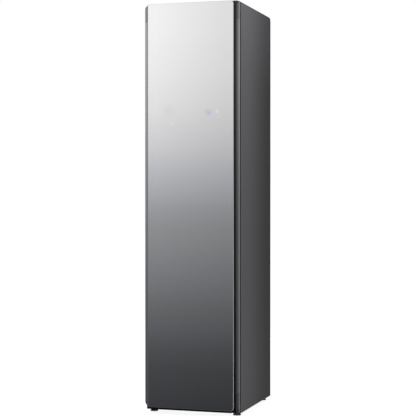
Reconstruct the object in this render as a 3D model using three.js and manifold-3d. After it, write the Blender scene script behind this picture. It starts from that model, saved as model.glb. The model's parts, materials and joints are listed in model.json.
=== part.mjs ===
// Clothes care steam cabinet with a full-height mirror glass door.
// Millimetres, +Z up, the glass faces -Y, origin on the floor under the middle of the cabinet.
import * as THREE from 'three';
import { mergeVertices } from 'three/addons/utils/BufferGeometryUtils.js';
import Module from 'manifold-3d';

const wasm = await Module();
wasm.setup();

// Driving dimensions
const cabinetWidth = 445;
const cabinetDepth = 585; // glass face to back panel
const cabinetHeight = 1850;
const bodyBottom = 12; // floor to the underside of the body
const doorThickness = 37.5; // glass face to the rear of the door
const doorGap = 12; // door to body, filled by the gasket
const seatGap = 0.3; // between pieces that rest on each other
const overrun = 5; // how far a cutting shape runs past what it cuts
const weldDistance = 0.0001;

const halfWidth = cabinetWidth / 2;
const glassFaceY = -cabinetDepth / 2;
const rearY = cabinetDepth / 2;
const doorRearY = glassFaceY + doorThickness;
const bodyFrontY = doorRearY + doorGap;

// Facet counts
const coarseSides = 10;
const roundSides = 16;
const fineSides = 24;
const cornerSteps = 2;
const smoothCornerSteps = 3;

// Helpers that make closed shapes
function weld(geometry) {
  const bare = geometry.clone();
  bare.deleteAttribute('normal');
  bare.deleteAttribute('uv');
  const merged = mergeVertices(bare, weldDistance);
  const corners = merged.index.array;
  const kept = [];
  for (let i = 0; i < corners.length; i += 3) {
    const [a, b, c] = [corners[i], corners[i + 1], corners[i + 2]];
    if (a !== b && b !== c && c !== a) kept.push(a, b, c);
  }
  merged.setIndex(kept);
  return merged;
}

function solidOf(geometry) {
  const merged = weld(geometry);
  return new wasm.Manifold(new wasm.Mesh({
    numProp: 3,
    vertProperties: new Float32Array(merged.attributes.position.array),
    triVerts: new Uint32Array(merged.index.array),
  }));
}

function geometryOf(solid) {
  const mesh = solid.getMesh();
  const geometry = new THREE.BufferGeometry();
  geometry.setAttribute('position', new THREE.BufferAttribute(mesh.vertProperties, 3));
  geometry.setIndex([...mesh.triVerts]);
  return geometry;
}

function cut(base, ...tools) {
  return geometryOf(tools.reduce((solid, tool) => solid.subtract(solidOf(tool)), solidOf(base)));
}

function join(first, ...others) {
  return geometryOf(others.reduce((solid, other) => solid.add(solidOf(other)), solidOf(first)));
}

function common(first, second) {
  return geometryOf(solidOf(first).intersect(solidOf(second)));
}

function box(x0, x1, y0, y1, z0, z1) {
  return new THREE.BoxGeometry(x1 - x0, y1 - y0, z1 - z0)
    .translate((x0 + x1) / 2, (y0 + y1) / 2, (z0 + z1) / 2);
}

function outline(points) {
  return new THREE.Shape(points.map(([u, v]) => new THREE.Vector2(u, v)));
}

function disc(radius, sides = roundSides, u = 0, v = 0) {
  const points = [];
  for (let i = 0; i < sides; i += 1) {
    const turn = (2 * Math.PI * i) / sides;
    points.push([u + radius * Math.cos(turn), v + radius * Math.sin(turn)]);
  }
  return outline(points);
}

function roundedRect(u0, u1, v0, v1, radius) {
  const shape = new THREE.Shape();
  shape.moveTo(u0 + radius, v0);
  shape.lineTo(u1 - radius, v0);
  shape.absarc(u1 - radius, v0 + radius, radius, -Math.PI / 2, 0);
  shape.lineTo(u1, v1 - radius);
  shape.absarc(u1 - radius, v1 - radius, radius, 0, Math.PI / 2);
  shape.lineTo(u0 + radius, v1);
  shape.absarc(u0 + radius, v1 - radius, radius, Math.PI / 2, Math.PI);
  shape.lineTo(u0, v0 + radius);
  shape.absarc(u0 + radius, v0 + radius, radius, Math.PI, 1.5 * Math.PI);
  return shape;
}

function extrude(shape, length, steps = cornerSteps) {
  return new THREE.ExtrudeGeometry(shape, { depth: length, bevelEnabled: false, curveSegments: steps });
}

// Outline in x and y, carried up
function prismZ(shape, z0, z1, steps) {
  return extrude(shape, z1 - z0, steps).translate(0, 0, z0);
}

// Outline in x and z, carried backwards
function prismY(shape, y0, y1, steps) {
  return extrude(shape, y1 - y0, steps).rotateX(Math.PI / 2).translate(0, y1, 0);
}

// Outline in y and z, carried to the right
function prismX(shape, x0, x1, steps) {
  const turn = new THREE.Matrix4().makeBasis(
    new THREE.Vector3(0, 1, 0), new THREE.Vector3(0, 0, 1), new THREE.Vector3(1, 0, 0));
  return extrude(shape, x1 - x0, steps).applyMatrix4(turn).translate(x0, 0, 0);
}

// Profile of [radius, height] pairs turned about the vertical axis
function revolve(profile, sides = roundSides) {
  return new THREE.LatheGeometry(profile.map(([r, z]) => new THREE.Vector2(r, z)), sides)
    .rotateX(Math.PI / 2);
}

function tubeAlong(points, radius, steps, sides = coarseSides) {
  const path = new THREE.CatmullRomCurve3(points.map(([x, y, z]) => new THREE.Vector3(x, y, z)));
  return new THREE.ExtrudeGeometry(disc(radius, sides), { steps, bevelEnabled: false, extrudePath: path });
}

// Sheet with every listed outline punched through it
function punched(prism, sheet, low, high, holes) {
  return cut(prism(sheet, low, high), ...holes.map((hole) => prism(hole, low - overrun, high + overrun)));
}

function rectangle(u0, u1, v0, v1) {
  return outline([[u0, v0], [u1, v0], [u1, v1], [u0, v1]]);
}

// Finishes
const finishes = {
  charcoalSteel: { color: 0x4c4b4d, roughness: 0.45, metalness: 0.6 },
  mirrorGlass: { color: 0x9a9ca0, roughness: 0.08, metalness: 0.9 },
  blackTrim: { color: 0x1b1b1d, roughness: 0.5, metalness: 0 },
  satinGrey: { color: 0x77787b, roughness: 0.35, metalness: 0.7 },
  darkGrey: { color: 0x3d3d40, roughness: 0.5, metalness: 0 },
  whitePlastic: { color: 0xdfe0e0, roughness: 0.4, metalness: 0 },
  clearBlue: { color: 0x9fb4c4, roughness: 0.2, metalness: 0 },
  rubberGrey: { color: 0x55565a, roughness: 0.8, metalness: 0 },
  rubberBlack: { color: 0x202022, roughness: 0.85, metalness: 0 },
  foam: { color: 0xe8dfc4, roughness: 0.95, metalness: 0 },
  zincSteel: { color: 0xb4b6b8, roughness: 0.4, metalness: 0.9 },
  aluminium: { color: 0xc4c6c8, roughness: 0.35, metalness: 0.9 },
  copper: { color: 0xb06a44, roughness: 0.35, metalness: 0.9 },
  boardGreen: { color: 0x2e5a3c, roughness: 0.5, metalness: 0 },
};

function piece(parent, name, geometry, finish, x = 0, y = 0, z = 0) {
  const shown = geometry.clone();
  shown.computeVertexNormals();
  const material = new THREE.MeshStandardMaterial({ ...finishes[finish], flatShading: true });
  const mesh = new THREE.Mesh(shown, material);
  mesh.name = name;
  mesh.position.set(x, y, z);
  parent.add(mesh);
  return mesh;
}

const cabinet = new THREE.Group();
const bodyShell = new THREE.Group();
const chamber = new THREE.Group();
const topModule = new THREE.Group();
const machineRoom = new THREE.Group();
const tankBay = new THREE.Group();
const door = new THREE.Group();
cabinet.add(bodyShell, chamber, topModule, machineRoom, tankBay, door);

// Steel body shell
const sheetThickness = 1.2;
const flangeWidth = 20;
const rearCornerRadius = 20;
const shellInset = sheetThickness + seatGap;
const innerHalfWidth = halfWidth - shellInset;

// Side seen from the left: square at the front, rounded at the rear top
function sideOutline(inset) {
  const [y0, y1] = [bodyFrontY + inset, rearY - inset];
  const [z0, z1] = [bodyBottom + inset, cabinetHeight - inset];
  const radius = rearCornerRadius - inset;
  const shape = new THREE.Shape();
  shape.moveTo(y0, z0);
  shape.lineTo(y1, z0);
  shape.lineTo(y1, z1 - radius);
  shape.absarc(y1 - radius, z1 - radius, radius, 0, Math.PI / 2);
  shape.lineTo(y0, z1);
  return shape;
}

// Pressed tray with a folded flange on every edge, open towards the inside
function sidePanel(side) {
  const [edge, face] = [halfWidth - flangeWidth, halfWidth];
  const hollowFace = face - sheetThickness;
  const span = (inner, outer) => (side > 0 ? [inner, outer] : [-outer, -inner]);
  const tray = prismX(sideOutline(0), ...span(edge, face), smoothCornerSteps);
  const hollow = prismX(sideOutline(sheetThickness), ...span(edge - overrun, hollowFace), smoothCornerSteps);
  return cut(tray, hollow);
}
piece(bodyShell, 'left_side_panel', sidePanel(-1), 'charcoalSteel');
piece(bodyShell, 'right_side_panel', sidePanel(1), 'charcoalSteel');

const topLip = 45; // how far the top panel folds down at the back
const topLipZ = cabinetHeight - topLip;

// Top sheet that follows the rounded corner and folds down behind
function topPanel() {
  const [yf, yr, zt] = [bodyFrontY + shellInset, rearY - shellInset, cabinetHeight - shellInset];
  const outer = rearCornerRadius - shellInset;
  const inner = outer - sheetThickness;
  const shape = new THREE.Shape();
  shape.moveTo(yf, zt);
  shape.lineTo(yr - outer, zt);
  shape.absarc(yr - outer, zt - outer, outer, Math.PI / 2, 0, true);
  shape.lineTo(yr, topLipZ);
  shape.lineTo(yr - sheetThickness, topLipZ);
  shape.lineTo(yr - sheetThickness, zt - outer);
  shape.absarc(yr - outer, zt - outer, inner, 0, Math.PI / 2, false);
  shape.lineTo(yf, zt - sheetThickness);
  return prismX(shape, -innerHalfWidth, innerHalfWidth, smoothCornerSteps);
}
piece(bodyShell, 'top_panel', topPanel(), 'charcoalSteel');

const backRearY = rearY - shellInset;
const backFrontY = backRearY - sheetThickness;
const ribWidth = 16;
const ribPitch = 110;
const ribBottom = 480;
const ribTopMargin = 220; // top of the cabinet to the ends of the ribs
const ribLength = cabinetHeight - ribTopMargin - ribBottom;
const ventWidth = 96;
const ventSlot = 6;
const ventPitch = 15;
const ventRows = 10;
const ventBottom = 110;
const ventFromMiddle = 45;
const glandInset = 56;
const glandX = innerHalfWidth - glandInset;
const glandZ = 62;
const glandBarrel = 8.5;
const glandHole = 9;

// Back sheet with pressed stiffening ribs and two banks of vent slots
function backPanel() {
  const sheet = rectangle(-innerHalfWidth, innerHalfWidth, bodyBottom + shellInset, topLipZ - seatGap);
  const holes = [disc(glandHole, roundSides, glandX, glandZ)];
  for (const side of [-1, 1]) {
    const middle = side * (ventFromMiddle + ventWidth / 2);
    for (let row = 0; row < ventRows; row += 1) {
      const low = ventBottom + row * ventPitch;
      holes.push(rectangle(middle - ventWidth / 2, middle + ventWidth / 2, low, low + ventSlot));
    }
  }
  const ribs = [-1, 0, 1].map((i) => prismY(
    roundedRect(i * ribPitch - ribWidth / 2, i * ribPitch + ribWidth / 2, ribBottom, ribBottom + ribLength,
      ribWidth / 2 - seatGap), backFrontY + sheetThickness / 2, rearY));
  return join(punched(prismY, sheet, backFrontY, backRearY, holes), ...ribs);
}
piece(bodyShell, 'back_panel', backPanel(), 'charcoalSteel');

const glandFlange = 14;
const glandLength = 16;
const glandBore = 4.5;
function cordGland() {
  const flange = prismY(disc(glandFlange), backRearY + seatGap, rearY);
  const barrel = prismY(disc(glandBarrel), rearY - glandLength, rearY);
  return cut(join(flange, barrel), prismY(disc(glandBore), rearY - glandLength - overrun, rearY + overrun));
}
piece(bodyShell, 'power_cord_gland', cordGland(), 'rubberBlack', glandX, 0, glandZ);

const frameDepth = 18;
const frameRearY = bodyFrontY + frameDepth;
const frameHalfWidth = halfWidth - flangeWidth - seatGap;
const frameBottom = bodyBottom + shellInset;
const frameTop = cabinetHeight - shellInset - sheetThickness - seatGap;
const frameStile = 32.2; // frame beside the chamber mouth
const topRoom = 150; // top of the cabinet to the chamber ceiling, for the hanger drive
const mouthStep = 6; // chamber ceiling to the top of the mouth
const chamberMouthHalf = frameHalfWidth - frameStile;
const chamberMouthBottom = 360;
const chamberTop = cabinetHeight - topRoom;
const chamberMouthTop = chamberTop - mouthStep;
const mouthCornerRadius = 16;
const mouthRail = 30; // frame between the two mouths
const bayMouthInset = 4.2;
const bayMouthHalf = chamberMouthHalf - bayMouthInset;
const bayMouthBottom = 60;
const bayMouthTop = chamberMouthBottom - mouthRail;
const bayCornerRadius = 6;

// Moulded frame on the front of the body, with the chamber mouth and the tank bay mouth
function frontFrame() {
  const plate = rectangle(-frameHalfWidth, frameHalfWidth, frameBottom, frameTop);
  return punched(prismY, plate, bodyFrontY, frameRearY, [
    roundedRect(-chamberMouthHalf, chamberMouthHalf, chamberMouthBottom, chamberMouthTop, mouthCornerRadius),
    roundedRect(-bayMouthHalf, bayMouthHalf, bayMouthBottom, bayMouthTop, bayCornerRadius),
  ]);
}
piece(bodyShell, 'front_frame', frontFrame(), 'darkGrey');

const footSideInset = 25.5; // faces of the body to the middle of a foot
const footFrontInset = 31;
const footRearInset = 60.5;
const footX = halfWidth - footSideInset;
const footFrontY = bodyFrontY + footFrontInset;
const footRearY = rearY - footRearInset;
const footRadius = 18;
const footPadHeight = 7.5;
const footEdge = 1;
const footCollar = 5.1;
const footStem = 4;
const footStemTop = 34;
const footHole = 4.4;
const trayThickness = 1.5;
const trayFlange = 22;
const trayBottom = bodyBottom + shellInset;
const trayFloor = trayBottom + trayThickness;
const trayFrontY = frameRearY + seatGap;
const trayRearY = backFrontY - seatGap;
const footPlaces = {
  foot_front_left: [-footX, footFrontY],
  foot_front_right: [footX, footFrontY],
  foot_rear_left: [-footX, footRearY],
  foot_rear_right: [footX, footRearY],
};

// Folded floor of the body, with a hole for each foot's screw
function baseTray() {
  const tray = box(-innerHalfWidth, innerHalfWidth, trayFrontY, trayRearY,
    trayBottom, trayBottom + trayFlange);
  const hollow = box(-innerHalfWidth + trayThickness, innerHalfWidth - trayThickness,
    trayFrontY + trayThickness, trayRearY - trayThickness, trayFloor, trayBottom + trayFlange + overrun);
  const holes = Object.values(footPlaces).map(([x, y]) => (
    prismZ(disc(footHole, coarseSides, x, y), trayBottom - overrun, trayFloor + overrun)));
  return cut(tray, hollow, ...holes);
}
piece(bodyShell, 'base_tray', baseTray(), 'zincSteel');

// Levelling foot: round pad, collar under the tray and screw through it
function levellingFoot() {
  const collarTop = trayBottom - seatGap;
  return revolve([
    [0, 0], [footRadius - footEdge, 0], [footRadius, footEdge], [footRadius, footPadHeight - footEdge],
    [footRadius - footEdge, footPadHeight], [footCollar, footPadHeight], [footCollar, collarTop],
    [footStem, collarTop], [footStem, footStemTop], [0, footStemTop],
  ]);
}
for (const [name, [x, y]] of Object.entries(footPlaces)) {
  piece(bodyShell, name, levellingFoot(), 'rubberBlack', x, y);
}

// Door hinges: the pins stand on one upright axis near the door's right edge
const hingeInset = 14.5;
const hingeSetback = 22.5;
const hingeX = halfWidth - hingeInset;
const hingeY = glassFaceY + hingeSetback;
const hingePinRadius = 4;
const hingePinHole = 4.5;
const hingePinLength = 15;
const hingeArmThickness = 5;
const hingeArmHalf = 9;
const hingeBossRadius = 11.5;
const hingeFlangeHalf = 14;
const hingeFlangeHeight = 40;
const hingeFlangeThickness = 3;
const topArmDrop = 4; // top of the hinge boss above the top arm
const hingeRearY = bodyFrontY - seatGap;
const topArmTop = cabinetHeight - topArmDrop;
const topArmBottom = topArmTop - hingeArmThickness;
const bottomArmTop = bodyBottom + hingeArmThickness;

function hingeArm(armBottom, armTop, flangeBottom, flangeTop, pinBottom, pinTop) {
  const pad = prismZ(disc(hingeBossRadius, roundSides, hingeX, hingeY), armBottom, armTop);
  const arm = box(hingeX - hingeArmHalf, hingeX + hingeArmHalf, hingeY, hingeRearY, armBottom, armTop);
  const flange = box(hingeX - hingeFlangeHalf, hingeX + hingeFlangeHalf,
    hingeRearY - hingeFlangeThickness, hingeRearY, flangeBottom, flangeTop);
  const pin = prismZ(disc(hingePinRadius, coarseSides, hingeX, hingeY), pinBottom, pinTop);
  return join(pad, arm, flange, pin);
}
const topBoss = prismZ(disc(hingeBossRadius, roundSides, hingeX, hingeY), topArmBottom, cabinetHeight);
piece(bodyShell, 'top_hinge_arm', join(topBoss, hingeArm(topArmBottom, topArmTop,
  topArmTop - hingeFlangeHeight, topArmTop, topArmBottom - hingePinLength, topArmTop)), 'charcoalSteel');
piece(bodyShell, 'bottom_hinge_arm', hingeArm(bodyBottom, bottomArmTop,
  bodyBottom, bodyBottom + hingeFlangeHeight, bodyBottom, bottomArmTop + hingePinLength), 'zincSteel');

// Door: mirror glass on a black carrier, in front of a shell of two side trims and two caps
const glassThickness = 4;
const glassSideInset = 22;
const glassBottom = 26;
const glassCornerRadius = 12;
const glassArris = 0.8;
const glassHalf = halfWidth - glassSideInset;
const glassRearY = glassFaceY + glassThickness;

function doorGlass() {
  const pane = roundedRect(-glassHalf, glassHalf, glassBottom, cabinetHeight, glassCornerRadius);
  return new THREE.ExtrudeGeometry(pane, {
    depth: glassThickness - 2 * glassArris,
    bevelThickness: glassArris,
    bevelSize: glassArris,
    bevelOffset: -glassArris,
    bevelSegments: 1,
    curveSegments: smoothCornerSteps,
  }).rotateX(Math.PI / 2).translate(0, glassRearY - glassArris, 0);
}
piece(door, 'door_glass', doorGlass(), 'mirrorGlass');

const doorBottom = 19.7;
const doorShellSetback = 12.5; // glass face to the front wall of the shell
const doorShellFrontY = glassFaceY + doorShellSetback;
const trimWall = 2.5;
const trimCurveWidth = 19.5;
const trimCurveDepth = 19;
const trimLap = 37.5; // outer face of the door to the inner edge of the trim
const trimLapX = halfWidth - trimLap;
const topCapHeight = 80;
const bottomCapHeight = 85;
const capBarHeight = 40;
const topCornerCut = [18, 18]; // width and height of the slanted free corner
const bottomCornerCut = [16, 29];
const hingeSweep = 17; // space round the hinge axis that the arm and boss need
const hingeFloorGap = 0.5;

// Door seen from above: straight sides, elliptical front corners
function doorSection(inset, sectionRearY) {
  const [face, front] = [halfWidth - inset, doorShellFrontY + inset];
  const [rx, ry] = [trimCurveWidth - inset, trimCurveDepth - inset];
  const shape = new THREE.Shape();
  shape.moveTo(-face, sectionRearY);
  shape.lineTo(-face, front + ry);
  shape.absellipse(-face + rx, front + ry, rx, ry, Math.PI, 1.5 * Math.PI);
  shape.lineTo(face - rx, front);
  shape.absellipse(face - rx, front + ry, rx, ry, -Math.PI / 2, 0);
  shape.lineTo(face, sectionRearY);
  return shape;
}

// Slanted corner of an outline that lies inside the outer one by the inset
function insetCut([w, h], inset) {
  const slant = Math.hypot(w, h);
  const reach = (w * h) / slant;
  const left = (reach + inset - (inset * (w + h)) / slant) / reach;
  return [w * left, h * left];
}

// Door seen from the front: the free left corners are slanted, the hinge corners square
function doorFace(inset) {
  const [x0, x1] = [-halfWidth + inset, halfWidth - inset];
  const [z0, z1] = [doorBottom + inset, cabinetHeight - inset];
  const [topW, topH] = insetCut(topCornerCut, inset);
  const [lowW, lowH] = insetCut(bottomCornerCut, inset);
  return outline([[x0 + lowW, z0], [x1, z0], [x1, z1], [x0 + topW, z1], [x0, z1 - topH], [x0, z0 + lowH]]);
}

// Space of the top hinge arm, which turns round the pin as the door opens
function hingeRecess(inset) {
  return box(hingeX - hingeSweep - inset, halfWidth + overrun,
    doorShellFrontY - overrun, doorRearY + 2 * overrun,
    topArmBottom - hingeFloorGap - inset, cabinetHeight + overrun);
}

function doorBody(inset, sectionRearY) {
  const upright = prismZ(doorSection(inset, sectionRearY), doorBottom - overrun, cabinetHeight + overrun);
  const face = prismY(doorFace(inset), doorShellFrontY - overrun, sectionRearY + overrun);
  return cut(common(upright, face), hingeRecess(inset));
}

function pinHole(z) {
  return prismZ(disc(hingePinHole, coarseSides, hingeX, hingeY), z - overrun, z + overrun);
}

const doorShell = cut(doorBody(0, doorRearY), doorBody(trimWall, doorRearY + overrun),
  pinHole(topArmBottom - hingeFloorGap), pinHole(doorBottom));
const [farLeft, farRight] = [-halfWidth - overrun, halfWidth + overrun];
const [farFront, farRear] = [glassFaceY - overrun, rearY + overrun];
const topCapZ = cabinetHeight - topCapHeight;
const bottomCapZ = doorBottom + bottomCapHeight;

// One end of the shell: a bar across the door with a leg down each side
function doorCap(z0, z1, openZ0, openZ1) {
  return cut(common(doorShell, box(farLeft, farRight, farFront, farRear, z0, z1)),
    box(-trimLapX, trimLapX, farFront, farRear, openZ0, openZ1));
}
piece(door, 'door_top_cap', doorCap(topCapZ, cabinetHeight + overrun,
  topCapZ - overrun, cabinetHeight - capBarHeight), 'satinGrey');
piece(door, 'door_bottom_cap', doorCap(doorBottom - overrun, bottomCapZ,
  doorBottom + capBarHeight, bottomCapZ + overrun), 'satinGrey');

function doorTrim(x0, x1) {
  return common(doorShell, box(x0, x1, farFront, farRear, bottomCapZ + seatGap, topCapZ - seatGap));
}
piece(door, 'door_left_trim', doorTrim(farLeft, -trimLapX), 'satinGrey');
piece(door, 'door_right_trim', doorTrim(trimLapX, farRight), 'satinGrey');

const carrierLip = 0.5; // black edge beside the glass
const carrierFace = 3;
const carrierRim = 14;
const carrierFrontY = glassRearY + seatGap;
const carrierRearY = doorShellFrontY - seatGap;

// Shallow black tray behind the glass, clear of the hinge boss
function glassCarrier() {
  const half = glassHalf + carrierLip;
  const tray = prismY(roundedRect(-half, half, doorBottom, cabinetHeight, glassCornerRadius),
    carrierFrontY, carrierRearY, smoothCornerSteps);
  const pocket = box(-half + carrierRim, half - carrierRim,
    carrierFrontY + carrierFace, carrierRearY + overrun,
    doorBottom + carrierRim, cabinetHeight - carrierRim);
  const boss = prismZ(disc(hingeSweep, roundSides, hingeX, hingeY), topArmBottom - hingeFloorGap,
    cabinetHeight + overrun);
  return cut(tray, pocket, boss);
}
piece(door, 'glass_carrier', glassCarrier(), 'blackTrim');

// Inner liner of the door, with the raised panel that faces the clothes and the press board on it
const linerThickness = 2.5;
const linerFrontY = doorRearY - linerThickness;
const plateauSideGap = 5; // mouth of the chamber to the raised panel
const plateauBottomGap = 12;
const plateauTopGap = 4;
const plateauHalf = chamberMouthHalf - plateauSideGap;
const plateauBottom = chamberMouthBottom + plateauBottomGap;
const plateauTop = chamberMouthTop - plateauTopGap;
const plateauDepth = 30;
const plateauCorner = 18;
const plateauY = doorRearY + plateauDepth;
const pressSideMargin = 49; // raised panel to the press board
const pressBottomMargin = 268;
const pressTopMargin = 190;
const pressHalf = plateauHalf - pressSideMargin;
const pressBottom = plateauBottom + pressBottomMargin;
const pressTop = plateauTop - pressTopMargin;
const pressCorner = 14;
const pressBoardDepth = 8;
const pressBoardY = plateauY + pressBoardDepth;
const coverThickness = 11;
const coverFrontY = pressBoardY + seatGap;
const coverRearY = coverFrontY + coverThickness;
const coverHingeReach = 10;
const coverHingeX = pressHalf + coverHingeReach;
const coverHingeY = coverFrontY + coverThickness / 2;
const knuckleRadius = 5;
const knuckleHeight = 26;
const knuckleInset = 120; // end of the cover to the fixed knuckle
const coverPinRadius = 2.2;
const coverPinHole = 2.8;
const coverPinReach = 14;
const knuckleBottoms = [pressBottom + knuckleInset, pressTop - knuckleInset - knuckleHeight];

function doorLiner() {
  const lap = trimWall + seatGap;
  const plate = cut(prismY(doorFace(lap), linerFrontY, doorRearY), hingeRecess(lap));
  const plateau = (inset, y0, y1) => prismY(roundedRect(-plateauHalf + inset, plateauHalf - inset,
    plateauBottom + inset, plateauTop - inset, plateauCorner - inset), y0, y1);
  const board = prismY(roundedRect(-pressHalf, pressHalf, pressBottom, pressTop, pressCorner),
    plateauY - linerThickness / 2, pressBoardY);
  const knuckles = knuckleBottoms.flatMap((z) => [
    prismZ(disc(knuckleRadius, coarseSides, coverHingeX, coverHingeY), z, z + knuckleHeight),
    box(coverHingeX - knuckleRadius / 2, coverHingeX + knuckleRadius,
      plateauY - linerThickness / 2, coverHingeY, z, z + knuckleHeight),
    prismZ(disc(coverPinRadius, coarseSides, coverHingeX, coverHingeY), z - coverPinReach,
      z + knuckleHeight + coverPinReach),
  ]);
  const shell = join(plate, plateau(0, linerFrontY, plateauY));
  const hollowed = cut(shell, plateau(linerThickness, linerFrontY - overrun, plateauY - linerThickness));
  return join(hollowed, board, ...knuckles);
}
piece(door, 'door_inner_liner', doorLiner(), 'whitePlastic');

const coverVentHeight = 8;
const coverVentRows = 9;
const coverVentColumns = 3;
const coverVentSide = 33; // edge of the cover to the first column of vents
const coverVentEnd = 94; // end of the cover to the middle of the first row
const coverVentBridge = 32; // between two columns
const coverVentSpan = 2 * (pressHalf - coverVentSide) + coverVentBridge;
const coverVentWidth = coverVentSpan / coverVentColumns - coverVentBridge;
const coverVentPitch = (pressTop - pressBottom - 2 * coverVentEnd) / (coverVentRows - 1);

// Press cover: vented board with hinge barrels along its right edge
function pressCover() {
  const board = roundedRect(-pressHalf, pressHalf, pressBottom, pressTop, pressCorner);
  const vents = [];
  for (let column = 0; column < coverVentColumns; column += 1) {
    const u = -pressHalf + coverVentSide + column * (coverVentWidth + coverVentBridge);
    for (let row = 0; row < coverVentRows; row += 1) {
      const v = pressBottom + coverVentEnd + row * coverVentPitch - coverVentHeight / 2;
      vents.push(rectangle(u, u + coverVentWidth, v, v + coverVentHeight));
    }
  }
  const barrelBottom = pressBottom + pressCorner;
  const barrelTop = pressTop - pressCorner;
  const edge = join(
    box(pressHalf - overrun, coverHingeX, coverHingeY - knuckleRadius / 2, coverHingeY + knuckleRadius / 2,
      barrelBottom, barrelTop),
    prismZ(disc(knuckleRadius, coarseSides, coverHingeX, coverHingeY), barrelBottom, barrelTop));
  const clearances = knuckleBottoms.flatMap((z) => [
    box(pressHalf, coverHingeX + 2 * knuckleRadius, coverFrontY - overrun, coverRearY + overrun,
      z - seatGap, z + knuckleHeight + seatGap),
    prismZ(disc(coverPinHole, coarseSides, coverHingeX, coverHingeY), z - coverPinReach - seatGap,
      z + knuckleHeight + coverPinReach + seatGap),
  ]);
  return cut(join(punched(prismY, board, coverFrontY, coverRearY, vents), edge), ...clearances);
}
piece(door, 'press_cover', pressCover(), 'whitePlastic');

const gasketSideLap = 26; // mouth of the chamber to the outer edge of the seal
const gasketBottomLap = 14;
const gasketTopLap = 20;
const gasketWidth = 14;
const gasketOuterHalf = chamberMouthHalf + gasketSideLap;
const gasketBottom = chamberMouthBottom - gasketBottomLap;
const gasketTop = chamberMouthTop + gasketTopLap;
const gasketCorner = 18;
const gasketBulb = 8;
const gasketFoot = 4.5;

// Ring seal: wide foot clipped to the door, narrower bulb that meets the body
function doorGasket() {
  const ring = (inset, width, y0, y1) => {
    const outer = roundedRect(-gasketOuterHalf + inset, gasketOuterHalf - inset, gasketBottom + inset,
      gasketTop - inset, gasketCorner - inset);
    const within = inset + width;
    outer.holes.push(roundedRect(-gasketOuterHalf + within, gasketOuterHalf - within, gasketBottom + within,
      gasketTop - within, gasketCorner - width));
    return prismY(outer, y0, y1);
  };
  const footTop = doorRearY + seatGap + gasketFoot;
  const bulbInset = (gasketWidth - gasketBulb) / 2;
  return join(ring(0, gasketWidth, doorRearY + seatGap, footTop),
    ring(bulbInset, gasketBulb, footTop - seatGap, bodyFrontY - seatGap));
}
piece(door, 'door_gasket', doorGasket(), 'rubberGrey');

const displaySideMargin = 35.5; // edge of the glass to the end of the board
const displayFromTop = 514; // top of the cabinet to the underside of the board
const displayHeight = 56;
const displayHalf = glassHalf - displaySideMargin;
const displayBottom = cabinetHeight - displayFromTop;
const boardThickness = 1.6;
const boardSetback = 3.4; // front of the board behind the carrier's face
const keyRadius = 7;
const keyShares = [-0.85, -0.64, 0.44, 0.65, 0.86]; // of half the board
const displayFrontY = carrierFrontY + carrierFace + boardSetback;
const displayTopZ = displayBottom + displayHeight;
const connectorHalf = 12;
const connectorHeight = 14;
const connectorDepth = 7;

// Circuit board behind the glass with round touch pads and a plug socket on its back
function displayModule() {
  const board = prismY(roundedRect(-displayHalf, displayHalf, displayBottom, displayTopZ, keyRadius),
    displayFrontY, displayFrontY + boardThickness);
  const pads = keyShares.map((share) => prismY(
    disc(keyRadius, coarseSides, share * displayHalf, (displayBottom + displayTopZ) / 2),
    carrierFrontY + carrierFace + seatGap, displayFrontY + boardThickness / 2));
  const socket = box(-connectorHalf, connectorHalf, displayFrontY + boardThickness / 2,
    displayFrontY + boardThickness + connectorDepth, displayBottom + connectorHeight,
    displayBottom + 2 * connectorHeight);
  return join(board, ...pads, socket);
}
piece(door, 'display_module', displayModule(), 'boardGreen');

const doorFoamSideGap = 5;
const doorFoamHalf = trimLapX - doorFoamSideGap;
const doorFoamFrontY = doorShellFrontY + trimWall + seatGap;
const doorFoamRearY = linerFrontY - seatGap;

// Foam slab between the shell and the liner, pocketed for the circuit board
function doorFoam() {
  const slab = box(-doorFoamHalf, doorFoamHalf, doorFoamFrontY, doorFoamRearY,
    bottomCapZ + seatGap, topCapZ - seatGap);
  const pocketRearY = displayFrontY + boardThickness + connectorDepth + seatGap;
  const pocket = box(-displayHalf - overrun, displayHalf + overrun, doorFoamFrontY - overrun, pocketRearY,
    displayBottom - overrun, displayTopZ + overrun);
  return cut(slab, pocket);
}
piece(door, 'door_insulation', doorFoam(), 'foam');

// Treatment chamber: four walls, floor and ceiling of moulded liner
const wallThickness = 3;
const mouthLip = 7.5; // frame in front of the chamber's side walls
const floorStep = 1; // bottom of the mouth to the chamber floor
const ductRoom = 67.5; // chamber to the back of the cabinet
const chamberHalf = chamberMouthHalf + mouthLip;
const chamberBottom = chamberMouthBottom + floorStep;
const chamberFrontY = frameRearY + seatGap;
const chamberRearY = rearY - ductRoom;
const chamberBackY = chamberRearY + wallThickness;
const chamberOuter = chamberHalf + wallThickness;
const shelfRise = 192; // chamber floor to the pegs
const shelfThickness = 14;
const shelfFrontGap = 36.7;
const shelfRearGap = 17;
const shelfFrontY = chamberFrontY + shelfFrontGap;
const shelfRearY = chamberRearY - shelfRearGap;
const pegLength = 34;
const pegReach = 10;
const pegHeight = 12;
const pegFrontInset = 38; // ends of the shelf to the middle of a peg
const pegRearInset = 58;
const pegTop = chamberBottom + shelfRise;

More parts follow.
